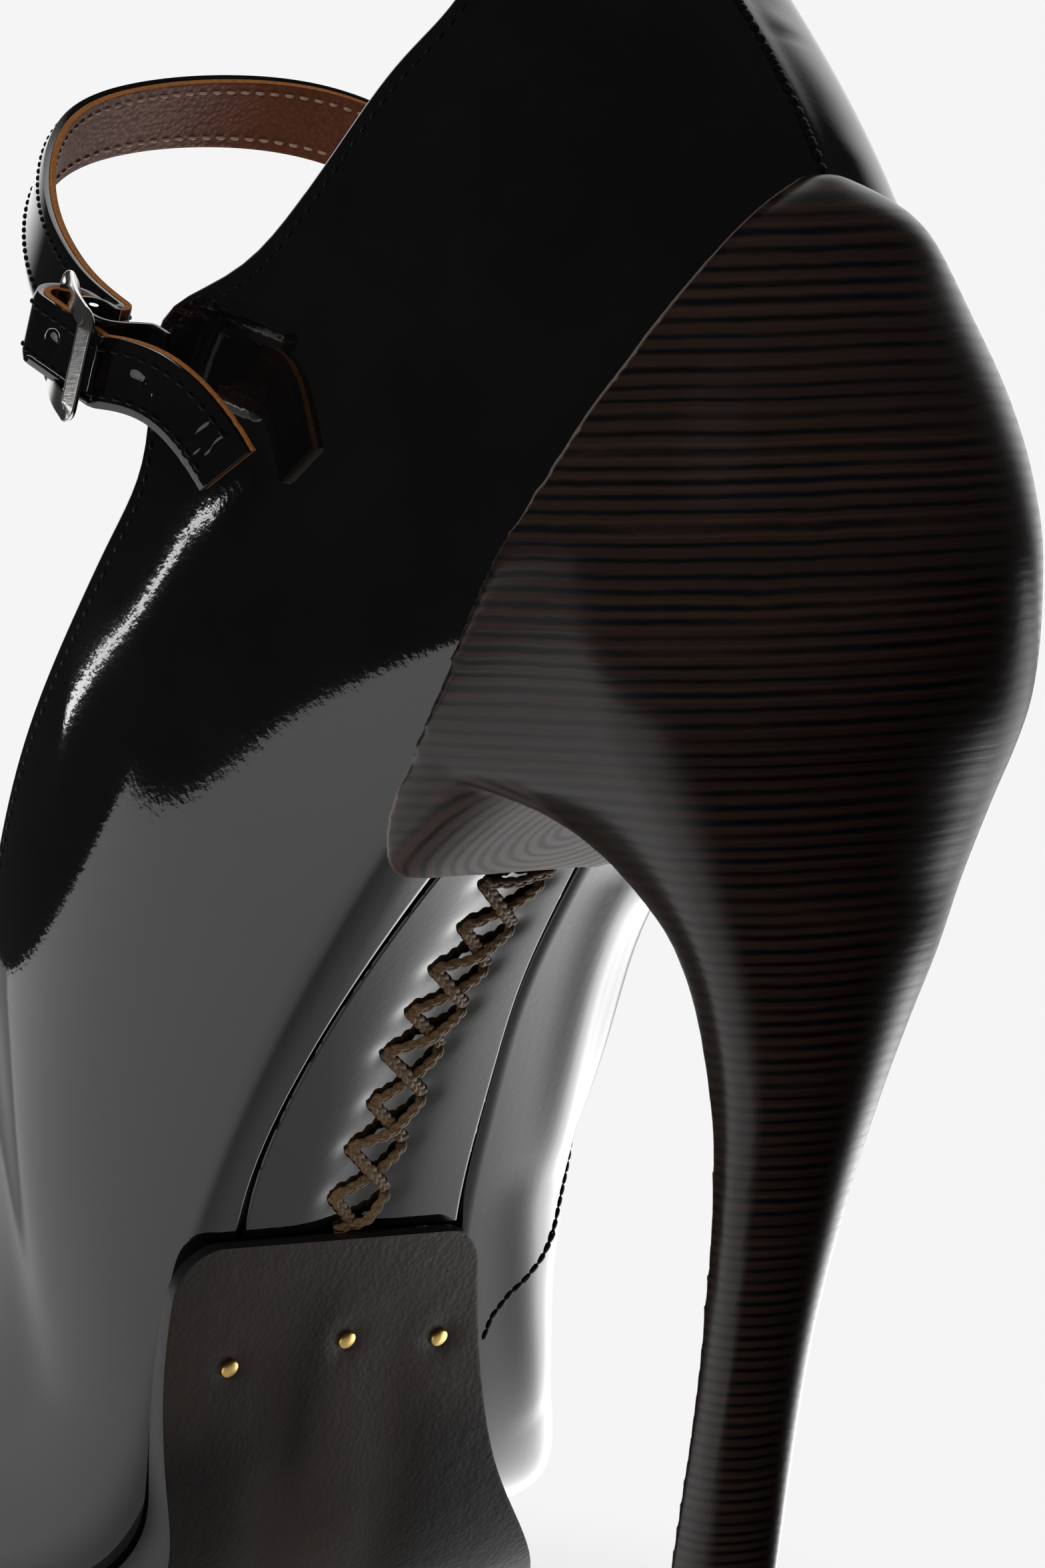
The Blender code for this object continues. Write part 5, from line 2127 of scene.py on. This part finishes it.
@dataclass
class Strap:
    """Instep strap: patent outside, chestnut inside, folded round the buckle."""

    last: Last
    width: float = 8.7
    thick: float = 1.6
    patent_thick: float = 0.95
    taper: float = 1.3
    taper_run: Pair = (60.0, 36.0)
    ear: float = 0.37
    roots: Triple = (9.6 / 12, 10.6 / 12, 11.6 / 12)
    root_gap: float = 0.6
    layer_in: float = -5.0
    layer_back: float = -2.7
    layer_free: float = 2.7
    turn_rear: float = -2.6
    turn_front: float = -5.0
    end: float = 21.8
    bar: float = 5.6
    droop: float = 3.9
    close: float = 5.4
    arch: float = 1.6
    steps: int = 560
    across: int = 24
    row_inset: float = 1.35
    holes: Tuple[float, ...] = (-3.6, 8.4)
    hole_radius: float = 0.75
    hole_depth: float = 0.45
    crinkle_width: float = 0.38
    crinkle_wave: Pair = (0.12, 1.9)
    edge_round: float = 0.9
    edge_drop: float = 0.22
    lining_share: float = 0.985
    edge_bevel: Bevel = (0.2, 2, 60.0)
    dense_end: float = 26.0
    dense_steps: int = 180
    crinkles: Tuple[Tuple[float, float, float, float], ...] = (
        (1.5, 0.10, 3.4, 0.12), (2.4, 0.04, 3.0, 0.20), (3.3, 0.12, 3.6, 0.16), (4.4, 0.02, 3.2, 0.18),
        (5.5, 0.10, 2.6, 0.12), (6.8, 0.06, 2.2, 0.06), (10.2, 0.14, 2.4, 0.12), (11.4, 0.05, 2.8, 0.15),
        (12.6, 0.12, 2.4, 0.12), (14.2, 0.08, 2.0, 0.06))

    def fold(self, along: float, start: float, end: float, toward: int) -> Array:
        """Half circle where the strap turns from one layer to the next.

        Args:
            along: Where the fold lies along the strap.
            start: Layer that it leaves.
            end: Layer that it reaches.
            toward: Way that it bulges, 1 or -1.

        Returns:
            Points in the drawing.
        """
        angles = np.linspace(0, math.pi, 26)[1:-1]
        radius = (end - start) / 2
        return BucklePlane.point(along + toward * abs(radius) * np.sin(angles),
                                 (start + end) / 2 - radius * np.cos(angles))

    def __post_init__(self) -> None:
        """Lay the strap's middle line and its width directions."""
        plane = BucklePlane
        ear = np.array([self.last.angle(self.ear, Side.MEDIAL)])
        root = [self.last.off_skin(ear, np.array([h]), np.array([self.thick / 2 + self.root_gap]))[0]
                for h in self.roots]
        places = (2 * self.turn_front, self.turn_front, self.turn_rear)
        arrive = [plane.point(place, self.layer_in) for place in places]
        leans = [np.array((row.lean_x, 0.0, row.lean_z)) for row in STRAP_LOOP]
        cage = np.array(root + [np.array(row[:3]) for row in STRAP_LOOP] + arrive)
        cage_leans = np.array([leans[0]] * len(root) + leans + [plane.WIDE] * len(arrive))
        weights = spline_weights(len(cage), np.linspace(0, 1, 241))
        back = np.linspace(self.turn_rear, self.turn_front, 12)
        free = np.linspace(self.turn_front, self.bar, 30)
        share = np.linspace(0, 1, 40)[1:]
        tail = np.concatenate([
            self.fold(self.turn_rear, self.layer_in, self.layer_back, 1),
            plane.point(back, self.layer_back),
            self.fold(self.turn_front, self.layer_back, self.layer_free, -1),
            plane.point(free, self.layer_free),
            plane.point(self.end * share + self.bar * (1 - share), self.layer_free - self.close * share,
                        self.arch * np.sin(math.pi * share) - self.droop * share ** 2)])
        line = np.concatenate([weights @ cage, tail])
        wide = np.concatenate([weights @ cage_leans, np.tile(plane.WIDE, (len(tail), 1))])
        runs = runs_along(line)
        self.length = runs[-1]
        self.at = np.linspace(0, self.length, self.steps + 1)
        self.line = read_off(self.at, runs, line)
        way = unit(np.gradient(self.line, axis=0))
        self.wide = square_to(read_off(self.at, runs, wide), way)
        self.face = unit(np.cross(way, self.wide))

    def relief(self, run: Array, across: Array) -> Array:
        """Crinkles near the free end and the punched holes, off the patent face.

        Args:
            run: Distances along the strap.
            across: Places across it.

        Returns:
            Height in millimetres.
        """
        from_end = self.length - run
        total = np.zeros_like(run)
        for place, slant, reach, depth in self.crinkles:
            wave = self.crinkle_wave[0] * np.sin(across * self.crinkle_wave[1] + place)
            off = from_end - place - slant * across + wave
            total = total - depth * bell(off, self.crinkle_width) * bell(across, reach)
        for hole in self.holes:
            place = self.length - (self.end - hole)
            total = total - self.hole_depth * bell(np.hypot(run - place, across), self.hole_radius)
        return total

    def surface(self, run: Array, across: Array, lift: Number) -> Tuple[Array, Array]:
        """Points off the strap's middle and the patent face's directions there.

        Args:
            run: Distances along the strap.
            across: Places across it.
            lift: Heights off the strap's middle.

        Returns:
            The points and the directions.
        """
        line, wide, face = (read_off(run, self.at, rows) for rows in (self.line, self.wide, self.face))
        face = unit(face)
        lift = np.broadcast_to(lift, run.shape)
        return line + wide * across[:, None] + face * lift[:, None], face

    def half_width(self, run: Array) -> Array:
        """Half the strap's width, narrower toward its free end."""
        low, high = (self.length - before for before in self.taper_run)
        return (self.width - self.taper * soft_step(run, low, high)) / 2

    def build(self, patent: Material, lining: Material, raw: Material) -> None:
        """Cut the patent layer and its lining, the lining's edges left raw.

        Args:
            patent: Material of the patent side.
            lining: Material of the inside.
            raw: Material of the raw edges.
        """
        def layer(top: float, drop: float, share: float) -> Place:
            """Face of one layer, its edges rounded down and its width cut to a share.

            Args:
                top: Height of the face off the strap's middle.
                drop: How far its edges are rounded down.
                share: Share of the strap's width.

            Returns:
                Place of the layer's points.
            """
            def wrap(s: Array, t: Array) -> Array:
                """Points at shares of the sheet's two directions.

                Args:
                    s: Shares along the sheet's first direction.
                    t: Shares along its second direction.

                Returns:
                    Points in the drawing.
                """
                start = 1 - self.dense_steps / self.steps
                run = np.interp(s, (0, start, 1), (0, self.length - self.dense_end, self.length))
                across = (2 * t - 1) * self.half_width(run) * share
                edge = 1 - soft_step(self.half_width(run) - np.abs(across), 0.0, self.edge_round)
                return self.surface(run, across, top + self.relief(run, across) - drop * edge)[0]

            return wrap

        split = self.thick / 2 - self.patent_thick
        lining_thick = self.thick - self.patent_thick
        for name, top, drop, share, thick, materials in (
                ("strap_band", self.thick / 2, self.edge_drop, 1.0, self.patent_thick, (patent,)),
                ("strap_lining", split, 0.0, self.lining_share, lining_thick, (raw, lining))):
            obj = Bench.sheet(name, (self.steps, self.across), layer(top, drop, share))
            Bench.make_up(obj, materials, thick, self.edge_bevel)
            Bench.hand_over(obj, Slot.STRAP, "strap")

    def sew(self, black: Material, beige: Material) -> None:
        """Sew both edges, black on the patent and beige on the lining.

        Args:
            black: Thread on the patent.
            beige: Thread on the lining.
        """
        for name, side, thread in (("strap_stitches", 1, black), ("lining_stitches", -1, beige)):
            rows = []
            for edge in (-1, 1):
                run = np.linspace(1.2, self.length - 1.6, 900)
                across = edge * (self.half_width(run) - self.row_inset)
                points, face = self.surface(run, across, side * self.thick / 2)
                rows.append(STRAP_STITCH.row(name + str(edge), points, face * side))
            obj = Bench.join(name, rows)
            Bench.dress(obj, thread)
            Bench.hand_over(obj, Slot.STRAP)


@dataclass
class Buckle:
    """Bowed satin steel frame, its pin and the short patent tab that holds it."""

    rear: float = 5.6
    front: float = -5.0
    half: float = 4.9
    sunk: float = -0.5
    rise: float = 5.2
    bow: float = 1.8
    strip: Pair = (2.4, 1.35)
    corner: float = 0.9
    profile: Tuple[Pair, ...] = (
        (-0.5, -0.4), (0.5, -0.4), (0.5, -0.12), (0.05, 0.5), (-0.02, 0.5), (-0.5, -0.12))
    tab_width: float = 6.4
    tab_thick: float = 0.8
    tab_across: float = 1.3
    tab_rear: float = 7.2
    tab_low: float = -4.6
    tab_fold: float = 1.6
    tab_bend: float = 3.4
    tab_bevel: Bevel = (0.18, 2, 55.0)
    counts: Tuple[int, int] = (260, 36)
    gap: float = 0.3

    def path(self, count: int) -> Array:
        """Closed line of the frame's middle, its corners rounded.

        Args:
            count: Number of points.

        Returns:
            The points.
        """
        share = np.linspace(0, 1, 60)
        along = self.front + (self.rear - self.front) * share
        out = self.rise * share ** 2 + self.bow * np.sin(math.pi * share)
        bar = np.linspace(1, -1, 60)[1:-1] * self.half
        plane = BucklePlane
        line = np.concatenate([
            plane.point(along, out, self.half - self.sunk),
            plane.point(along[-1], out[-1], bar - self.sunk),
            plane.point(along[::-1], out[::-1], -self.half - self.sunk),
            plane.point(along[0], out[0], -bar - self.sunk)])
        line = np.concatenate([line, line[:1]])
        runs = runs_along(line)
        line = read_off(np.linspace(0, runs[-1], count, endpoint=False), runs, line)
        window = max(1, int(self.corner / (runs[-1] / count)))
        return sum(np.roll(line, k, axis=0) for k in range(-window, window + 1)) / (2 * window + 1)

    def rounded_profile(self, sides: int) -> Array:
        """Section of the strip, bevelled on its face, its corners eased.

        Args:
            sides: Number of points.

        Returns:
            Points as shares of the strip's size.
        """
        corners = np.array([*self.profile, self.profile[0]])
        runs = runs_along(corners * self.strip)
        points = read_off(np.linspace(0, runs[-1], sides, endpoint=False), runs, corners)
        return (np.roll(points, 1, axis=0) + 2 * points + np.roll(points, -1, axis=0)) / 4

    def build(self, steel: Material) -> None:
        """Bend the frame from a strip with rounded edges.

        Args:
            steel: Material of the frame.
        """
        count, sides = self.counts
        outline = self.rounded_profile(sides)
        line = self.path(count)
        way = unit(np.roll(line, -1, axis=0) - np.roll(line, 1, axis=0))
        lean = square_to(np.cross(way, BucklePlane.OUT), way)
        face = np.cross(way, lean)

        def wrap(s: Array, t: Array) -> Array:
            """Points at shares of the sheet's two directions.

            Args:
                s: Shares along the sheet's first direction.
                t: Shares along its second direction.

            Returns:
                Points in the drawing.
            """
            i = np.round(s * count).astype(int) % count
            at = outline[np.round(t * sides).astype(int) % sides] * self.strip
            return line[i] + lean[i] * at[:, :1] + face[i] * at[:, 1:]

        obj = Bench.sheet("buckle_frame", (count, sides), wrap)
        Bench.edit(obj, Bench.merge, Bench.face_out)
        Bench.dress(obj, steel)
        Bench.smooth(obj, 60.0)
        Bench.hand_over(obj, Slot.BUCKLE, "buckle")

    def hold(self, patent: Material) -> None:
        """Fold the tab from the lateral quarter round the pin.

        Args:
            patent: Material of the tab.
        """
        plane = BucklePlane
        radius = plane.PIN_RADIUS + self.gap + self.tab_thick / 2
        angles = np.linspace(0, math.pi, 25)
        lie = np.array([(self.tab_rear, self.tab_low), ((self.tab_rear + self.tab_bend) / 2, self.tab_low),
                        (self.tab_bend, self.tab_low), (self.tab_bend, radius), (self.tab_bend / 2, radius),
                        (plane.PIN_AT, radius)])
        run = spline_weights(6, np.linspace(0, 1, 60)) @ lie
        arc = np.stack([plane.PIN_AT - radius * np.sin(angles), radius * np.cos(angles)], -1)[1:]
        tail = np.stack([np.linspace(plane.PIN_AT, plane.PIN_AT + self.tab_fold, 8)[1:],
                         np.full(7, -radius)], -1)
        flat = np.concatenate([run, arc, tail])
        way = unit(np.gradient(flat, axis=0))
        face = np.stack([-way[:, 1], way[:, 0]], -1)
        count = len(flat) - 1

        def wrap(s: Array, t: Array) -> Array:
            """Points at shares of the sheet's two directions.

            Args:
                s: Shares along the sheet's first direction.
                t: Shares along its second direction.

            Returns:
                Points in the drawing.
            """
            i = np.round(s * count).astype(int)
            at = flat[i] - face[i] * self.tab_thick / 2
            return plane.point(at[:, 0], at[:, 1], self.tab_across + (t - 0.5) * self.tab_width)

        obj = Bench.sheet("buckle_tab_loop", (count, 12), wrap)
        Bench.make_up(obj, (patent,), self.tab_thick, self.tab_bevel)
        Bench.hand_over(obj, Slot.TAB, "buckle_tab")


@dataclass
class PhotoCamera:
    """Camera at the photograph's viewing angle."""

    off_back: float = 43.0
    distance: float = 560.0
    height: float = 155.0
    focal: float = 8680.0
    axis_column: float = 1150.0
    horizon_row: float = 430.0
    roll: float = 1.5
    image: Tuple[int, int] = (1568, 2352)
    sensor: float = 36.0

    def build(self) -> None:
        """Place the camera and make it the scene's own."""
        a, roll = math.radians(self.off_back), math.radians(self.roll)
        ahead = Vector((-math.cos(a), math.sin(a), 0.0))
        right = Vector((math.sin(a), math.cos(a), 0.0))
        up = Vector((0.0, 0.0, 1.0))
        dx = self.image[0] / 2 - self.axis_column
        dy = self.image[1] / 2 - self.horizon_row
        x = math.cos(roll) * dx - math.sin(roll) * dy
        y = math.sin(roll) * dx + math.cos(roll) * dy
        look = (ahead + right * (x / self.focal) - up * (y / self.focal)).normalized()
        side = right * math.cos(roll) - up * math.sin(roll)
        side = (side - look * side.dot(look)).normalized()
        lens = bpy.data.cameras.new("photo_camera")
        lens.sensor_fit, lens.sensor_height = "VERTICAL", self.sensor
        lens.lens = self.focal / self.image[1] * self.sensor
        lens.clip_start = 0.01
        obj = bpy.data.objects.new("photo_camera", lens)
        pose = Matrix((side, side.cross(look), -look)).transposed().to_4x4()
        pose.translation = to_frame(-np.array(ahead) * self.distance + np.array(up) * self.height)
        obj.matrix_world = pose
        bpy.context.scene.collection.objects.link(obj)
        bpy.context.scene.camera = obj


@dataclass
class Studio:
    """White table against a bright background, with the camera's side left dark."""

    white: float = 0.913
    edge_point: Pair = (54.0, -191.0)
    edge_turn: float = 25.4
    table: Tuple[float, float, float, float] = (-780.0, 1100.0, 0.0, 1500.0)
    near_glow: float = 1.0
    far_glow: float = 3.6
    back_glow: float = 1.2
    dark_glow: float = 0.03
    far: Pair = (0.02, 0.10)
    skew: float = 0.6
    past: Pair = (0.01, 0.05)
    ahead: Pair = (-0.40, -0.12)
    beyond: Pair = (0.16, 0.30)
    fall: float = 0.85
    aside: Pair = (0.07, 0.16)
    heel_shadow: Pair = (0.02, 0.10)
    under_shadow: Pair = (-0.06, -0.02)
    shade: float = 0.6
    behind: Pair = (0.79, 0.98)
    lean: float = 0.35
    behind_turn: float = 135.0
    floor_shade: Pair = (0.55, 0.05)
    below: float = 0.05
    strip_size: Pair = (0.50, 0.010)
    strip_power: float = 0.11
    strip_heading: float = -148.0
    strip_from: Triple = (-60.0, -29.0, 130.0)
    strip_away: float = 1.2
    strip_roll: float = 0.08
    strip_rise: float = -0.040
    fill_power: float = 9.0
    fill_aim: Triple = (0.0, 0.0, 0.1)
    fill_place: Triple = (0.62, -0.95, 0.75)
    fill_size: float = 0.7

    def build(self) -> None:
        """Lay the table, set the background's light and the strip light."""
        bpy.context.scene.view_settings.view_transform = "Standard"
        self.lay_table()
        self.light_background()
        self.hang_strip()
        self.set_fill()

    def lay_table(self) -> None:
        """Pale table top whose far part is lit more strongly."""
        turn = math.radians(self.edge_turn)
        edge = np.array([math.cos(turn), math.sin(turn), 0.0])
        inward = np.array([-math.sin(turn), math.cos(turn), 0.0])
        start = np.array([*self.edge_point, -self.below])
        low_a, high_a, low_b, high_b = self.table

        def wrap(s: Array, t: Array) -> Array:
            """Points at shares of the sheet\'s two directions."""
            a, b = low_a + (high_a - low_a) * s, low_b + (high_b - low_b) * t
            return start + edge * a[:, None] + inward * b[:, None]

        obj = Bench.sheet("table_top", (24, 24), wrap)
        material = bpy.data.materials.new("pale_table")
        material.use_nodes = True
        tree = Tree(material.node_tree)
        place = tree.place()
        along, across = tree.axis(place, "X"), tree.axis(place, "Y")
        lit = 1 - across.step(*self.under_shadow) * self.shade
        patch = (across - along * self.skew).step(*self.far) * along.step(*self.ahead)
        patch = patch * (1 - across.step(*self.beyond) * self.fall) * across.step(*self.past)
        patch = patch * (1 - along.step(*self.aside))
        glow = patch * self.far_glow + (1 - along.step(*self.heel_shadow)) * lit * self.near_glow
        darkest, reach = self.floor_shade
        shade = tree.out("ShaderNodeAmbientOcclusion", None, {"Distance": reach}, "AO")
        seen = (shade * (1 - darkest) + darkest) * self.white
        camera = tree.out("ShaderNodeLightPath", output="Is Camera Ray")
        strength = camera * seen + (1 - camera) * glow
        light = tree.out("ShaderNodeEmission", None, {"Strength": strength})
        tree.add("ShaderNodeOutputMaterial", None, {"Surface": light})
        Bench.dress(obj, material)

    def light_background(self) -> None:
        """Bright background behind the shoe, dark room on the camera's side."""
        world = bpy.data.worlds.new("studio")
        world.use_nodes = True
        bpy.context.scene.world = world
        tree = Tree(world.node_tree)
        place = tree.out("ShaderNodeTexCoord", output="Generated")
        level = tree.axis(place, "Z")
        turn = math.radians(self.behind_turn)
        ahead = tree.axis(place, "X") * math.cos(turn) + tree.axis(place, "Y") * math.sin(turn)
        glow = (ahead + level * self.lean).step(*self.behind)
        glow = glow * (self.back_glow - self.dark_glow) + self.dark_glow
        camera = tree.out("ShaderNodeLightPath", output="Is Camera Ray")
        strength = camera * self.white + (1 - camera) * glow
        light = tree.out("ShaderNodeBackground", None, {"Color": (1.0, 1.0, 1.0, 1.0),
                                                        "Strength": strength})
        tree.add("ShaderNodeOutputWorld", None, {"Surface": light})

    def hang_strip(self) -> None:
        """Narrow level strip light ahead of the toe, for the streak along the vamp."""
        light = bpy.data.lights.new("strip_light", "AREA")
        light.shape, light.energy = "RECTANGLE", self.strip_power
        light.size, light.size_y = self.strip_size
        heading = math.radians(self.strip_heading)
        way = Vector((math.cos(heading), math.sin(heading), self.strip_rise)).normalized()
        place = Vector(to_frame(self.strip_from)) + way * self.strip_away
        self.hang(light, place, way, self.strip_roll, True)

    def set_fill(self) -> None:
        """Soft light from behind the camera that the gloss doesn't show."""
        light = bpy.data.lights.new("fill_light", "AREA")
        light.shape, light.size, light.energy = "DISK", self.fill_size, self.fill_power
        place = Vector(self.fill_place)
        self.hang(light, place, place - Vector(self.fill_aim), 0.0, False)

    @staticmethod
    def hang(light: bpy.types.Light, place: Vector, back: Vector, roll: float, glossy: bool) -> None:
        """Hang a light that the camera doesn't see.

        Args:
            light: The light.
            place: Where it hangs, in metres.
            back: Direction from what it lights to the light.
            roll: Turn about that direction, in radians.
            glossy: Whether glossy surfaces show it.
        """
        obj = bpy.data.objects.new(light.name, light)
        turn = back.to_track_quat("Z", "Y").to_matrix() @ Matrix.Rotation(roll, 3, "Z")
        obj.matrix_world = Matrix.Translation(place) @ turn.to_4x4()
        obj.visible_camera, obj.visible_glossy = False, glossy
        bpy.context.scene.collection.objects.link(obj)


def main() -> None:
    """Build the shoe's looks piece by piece."""
    logging.basicConfig(level=logging.INFO, format="%(message)s")
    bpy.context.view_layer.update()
    PhotoCamera().build()
    Studio().build()
    patent, lining, raw = Patent().material(), Lining().material(), RawEdge().material()
    black_edge, steel = BlackEdge().material(), STEEL.material()
    black_thread = WaxedThread("black_thread", (0.006, 0.0055, 0.0055), (0.002, 0.002, 0.002)).material()
    beige_thread = WaxedThread("beige_thread", (0.42, 0.30, 0.20), (0.20, 0.13, 0.08)).material()
    last = Last()
    upper = Upper(last)
    upper.build(patent, lining)
    upper.sew(black_thread)
    Insole(last).build(lining)
    waist = Waist(last)
    waist.build(patent, black_edge)
    waist.lace(WaxedThread().material())
    sole = Outsole(last)
    sole.build(SoleLeather().material(), black_edge)
    sole.nail(BRASS.material())
    Heel(last).build(LayeredWood().material())
    strap = Strap(last)
    strap.build(patent, lining, raw)
    strap.sew(black_thread, beige_thread)
    buckle = Buckle()
    buckle.build(steel)
    buckle.hold(patent)
    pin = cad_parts["buckle_pin"]
    for slot in pin.material_slots:
        slot.material = steel


if __name__ == "__main__":
    main()
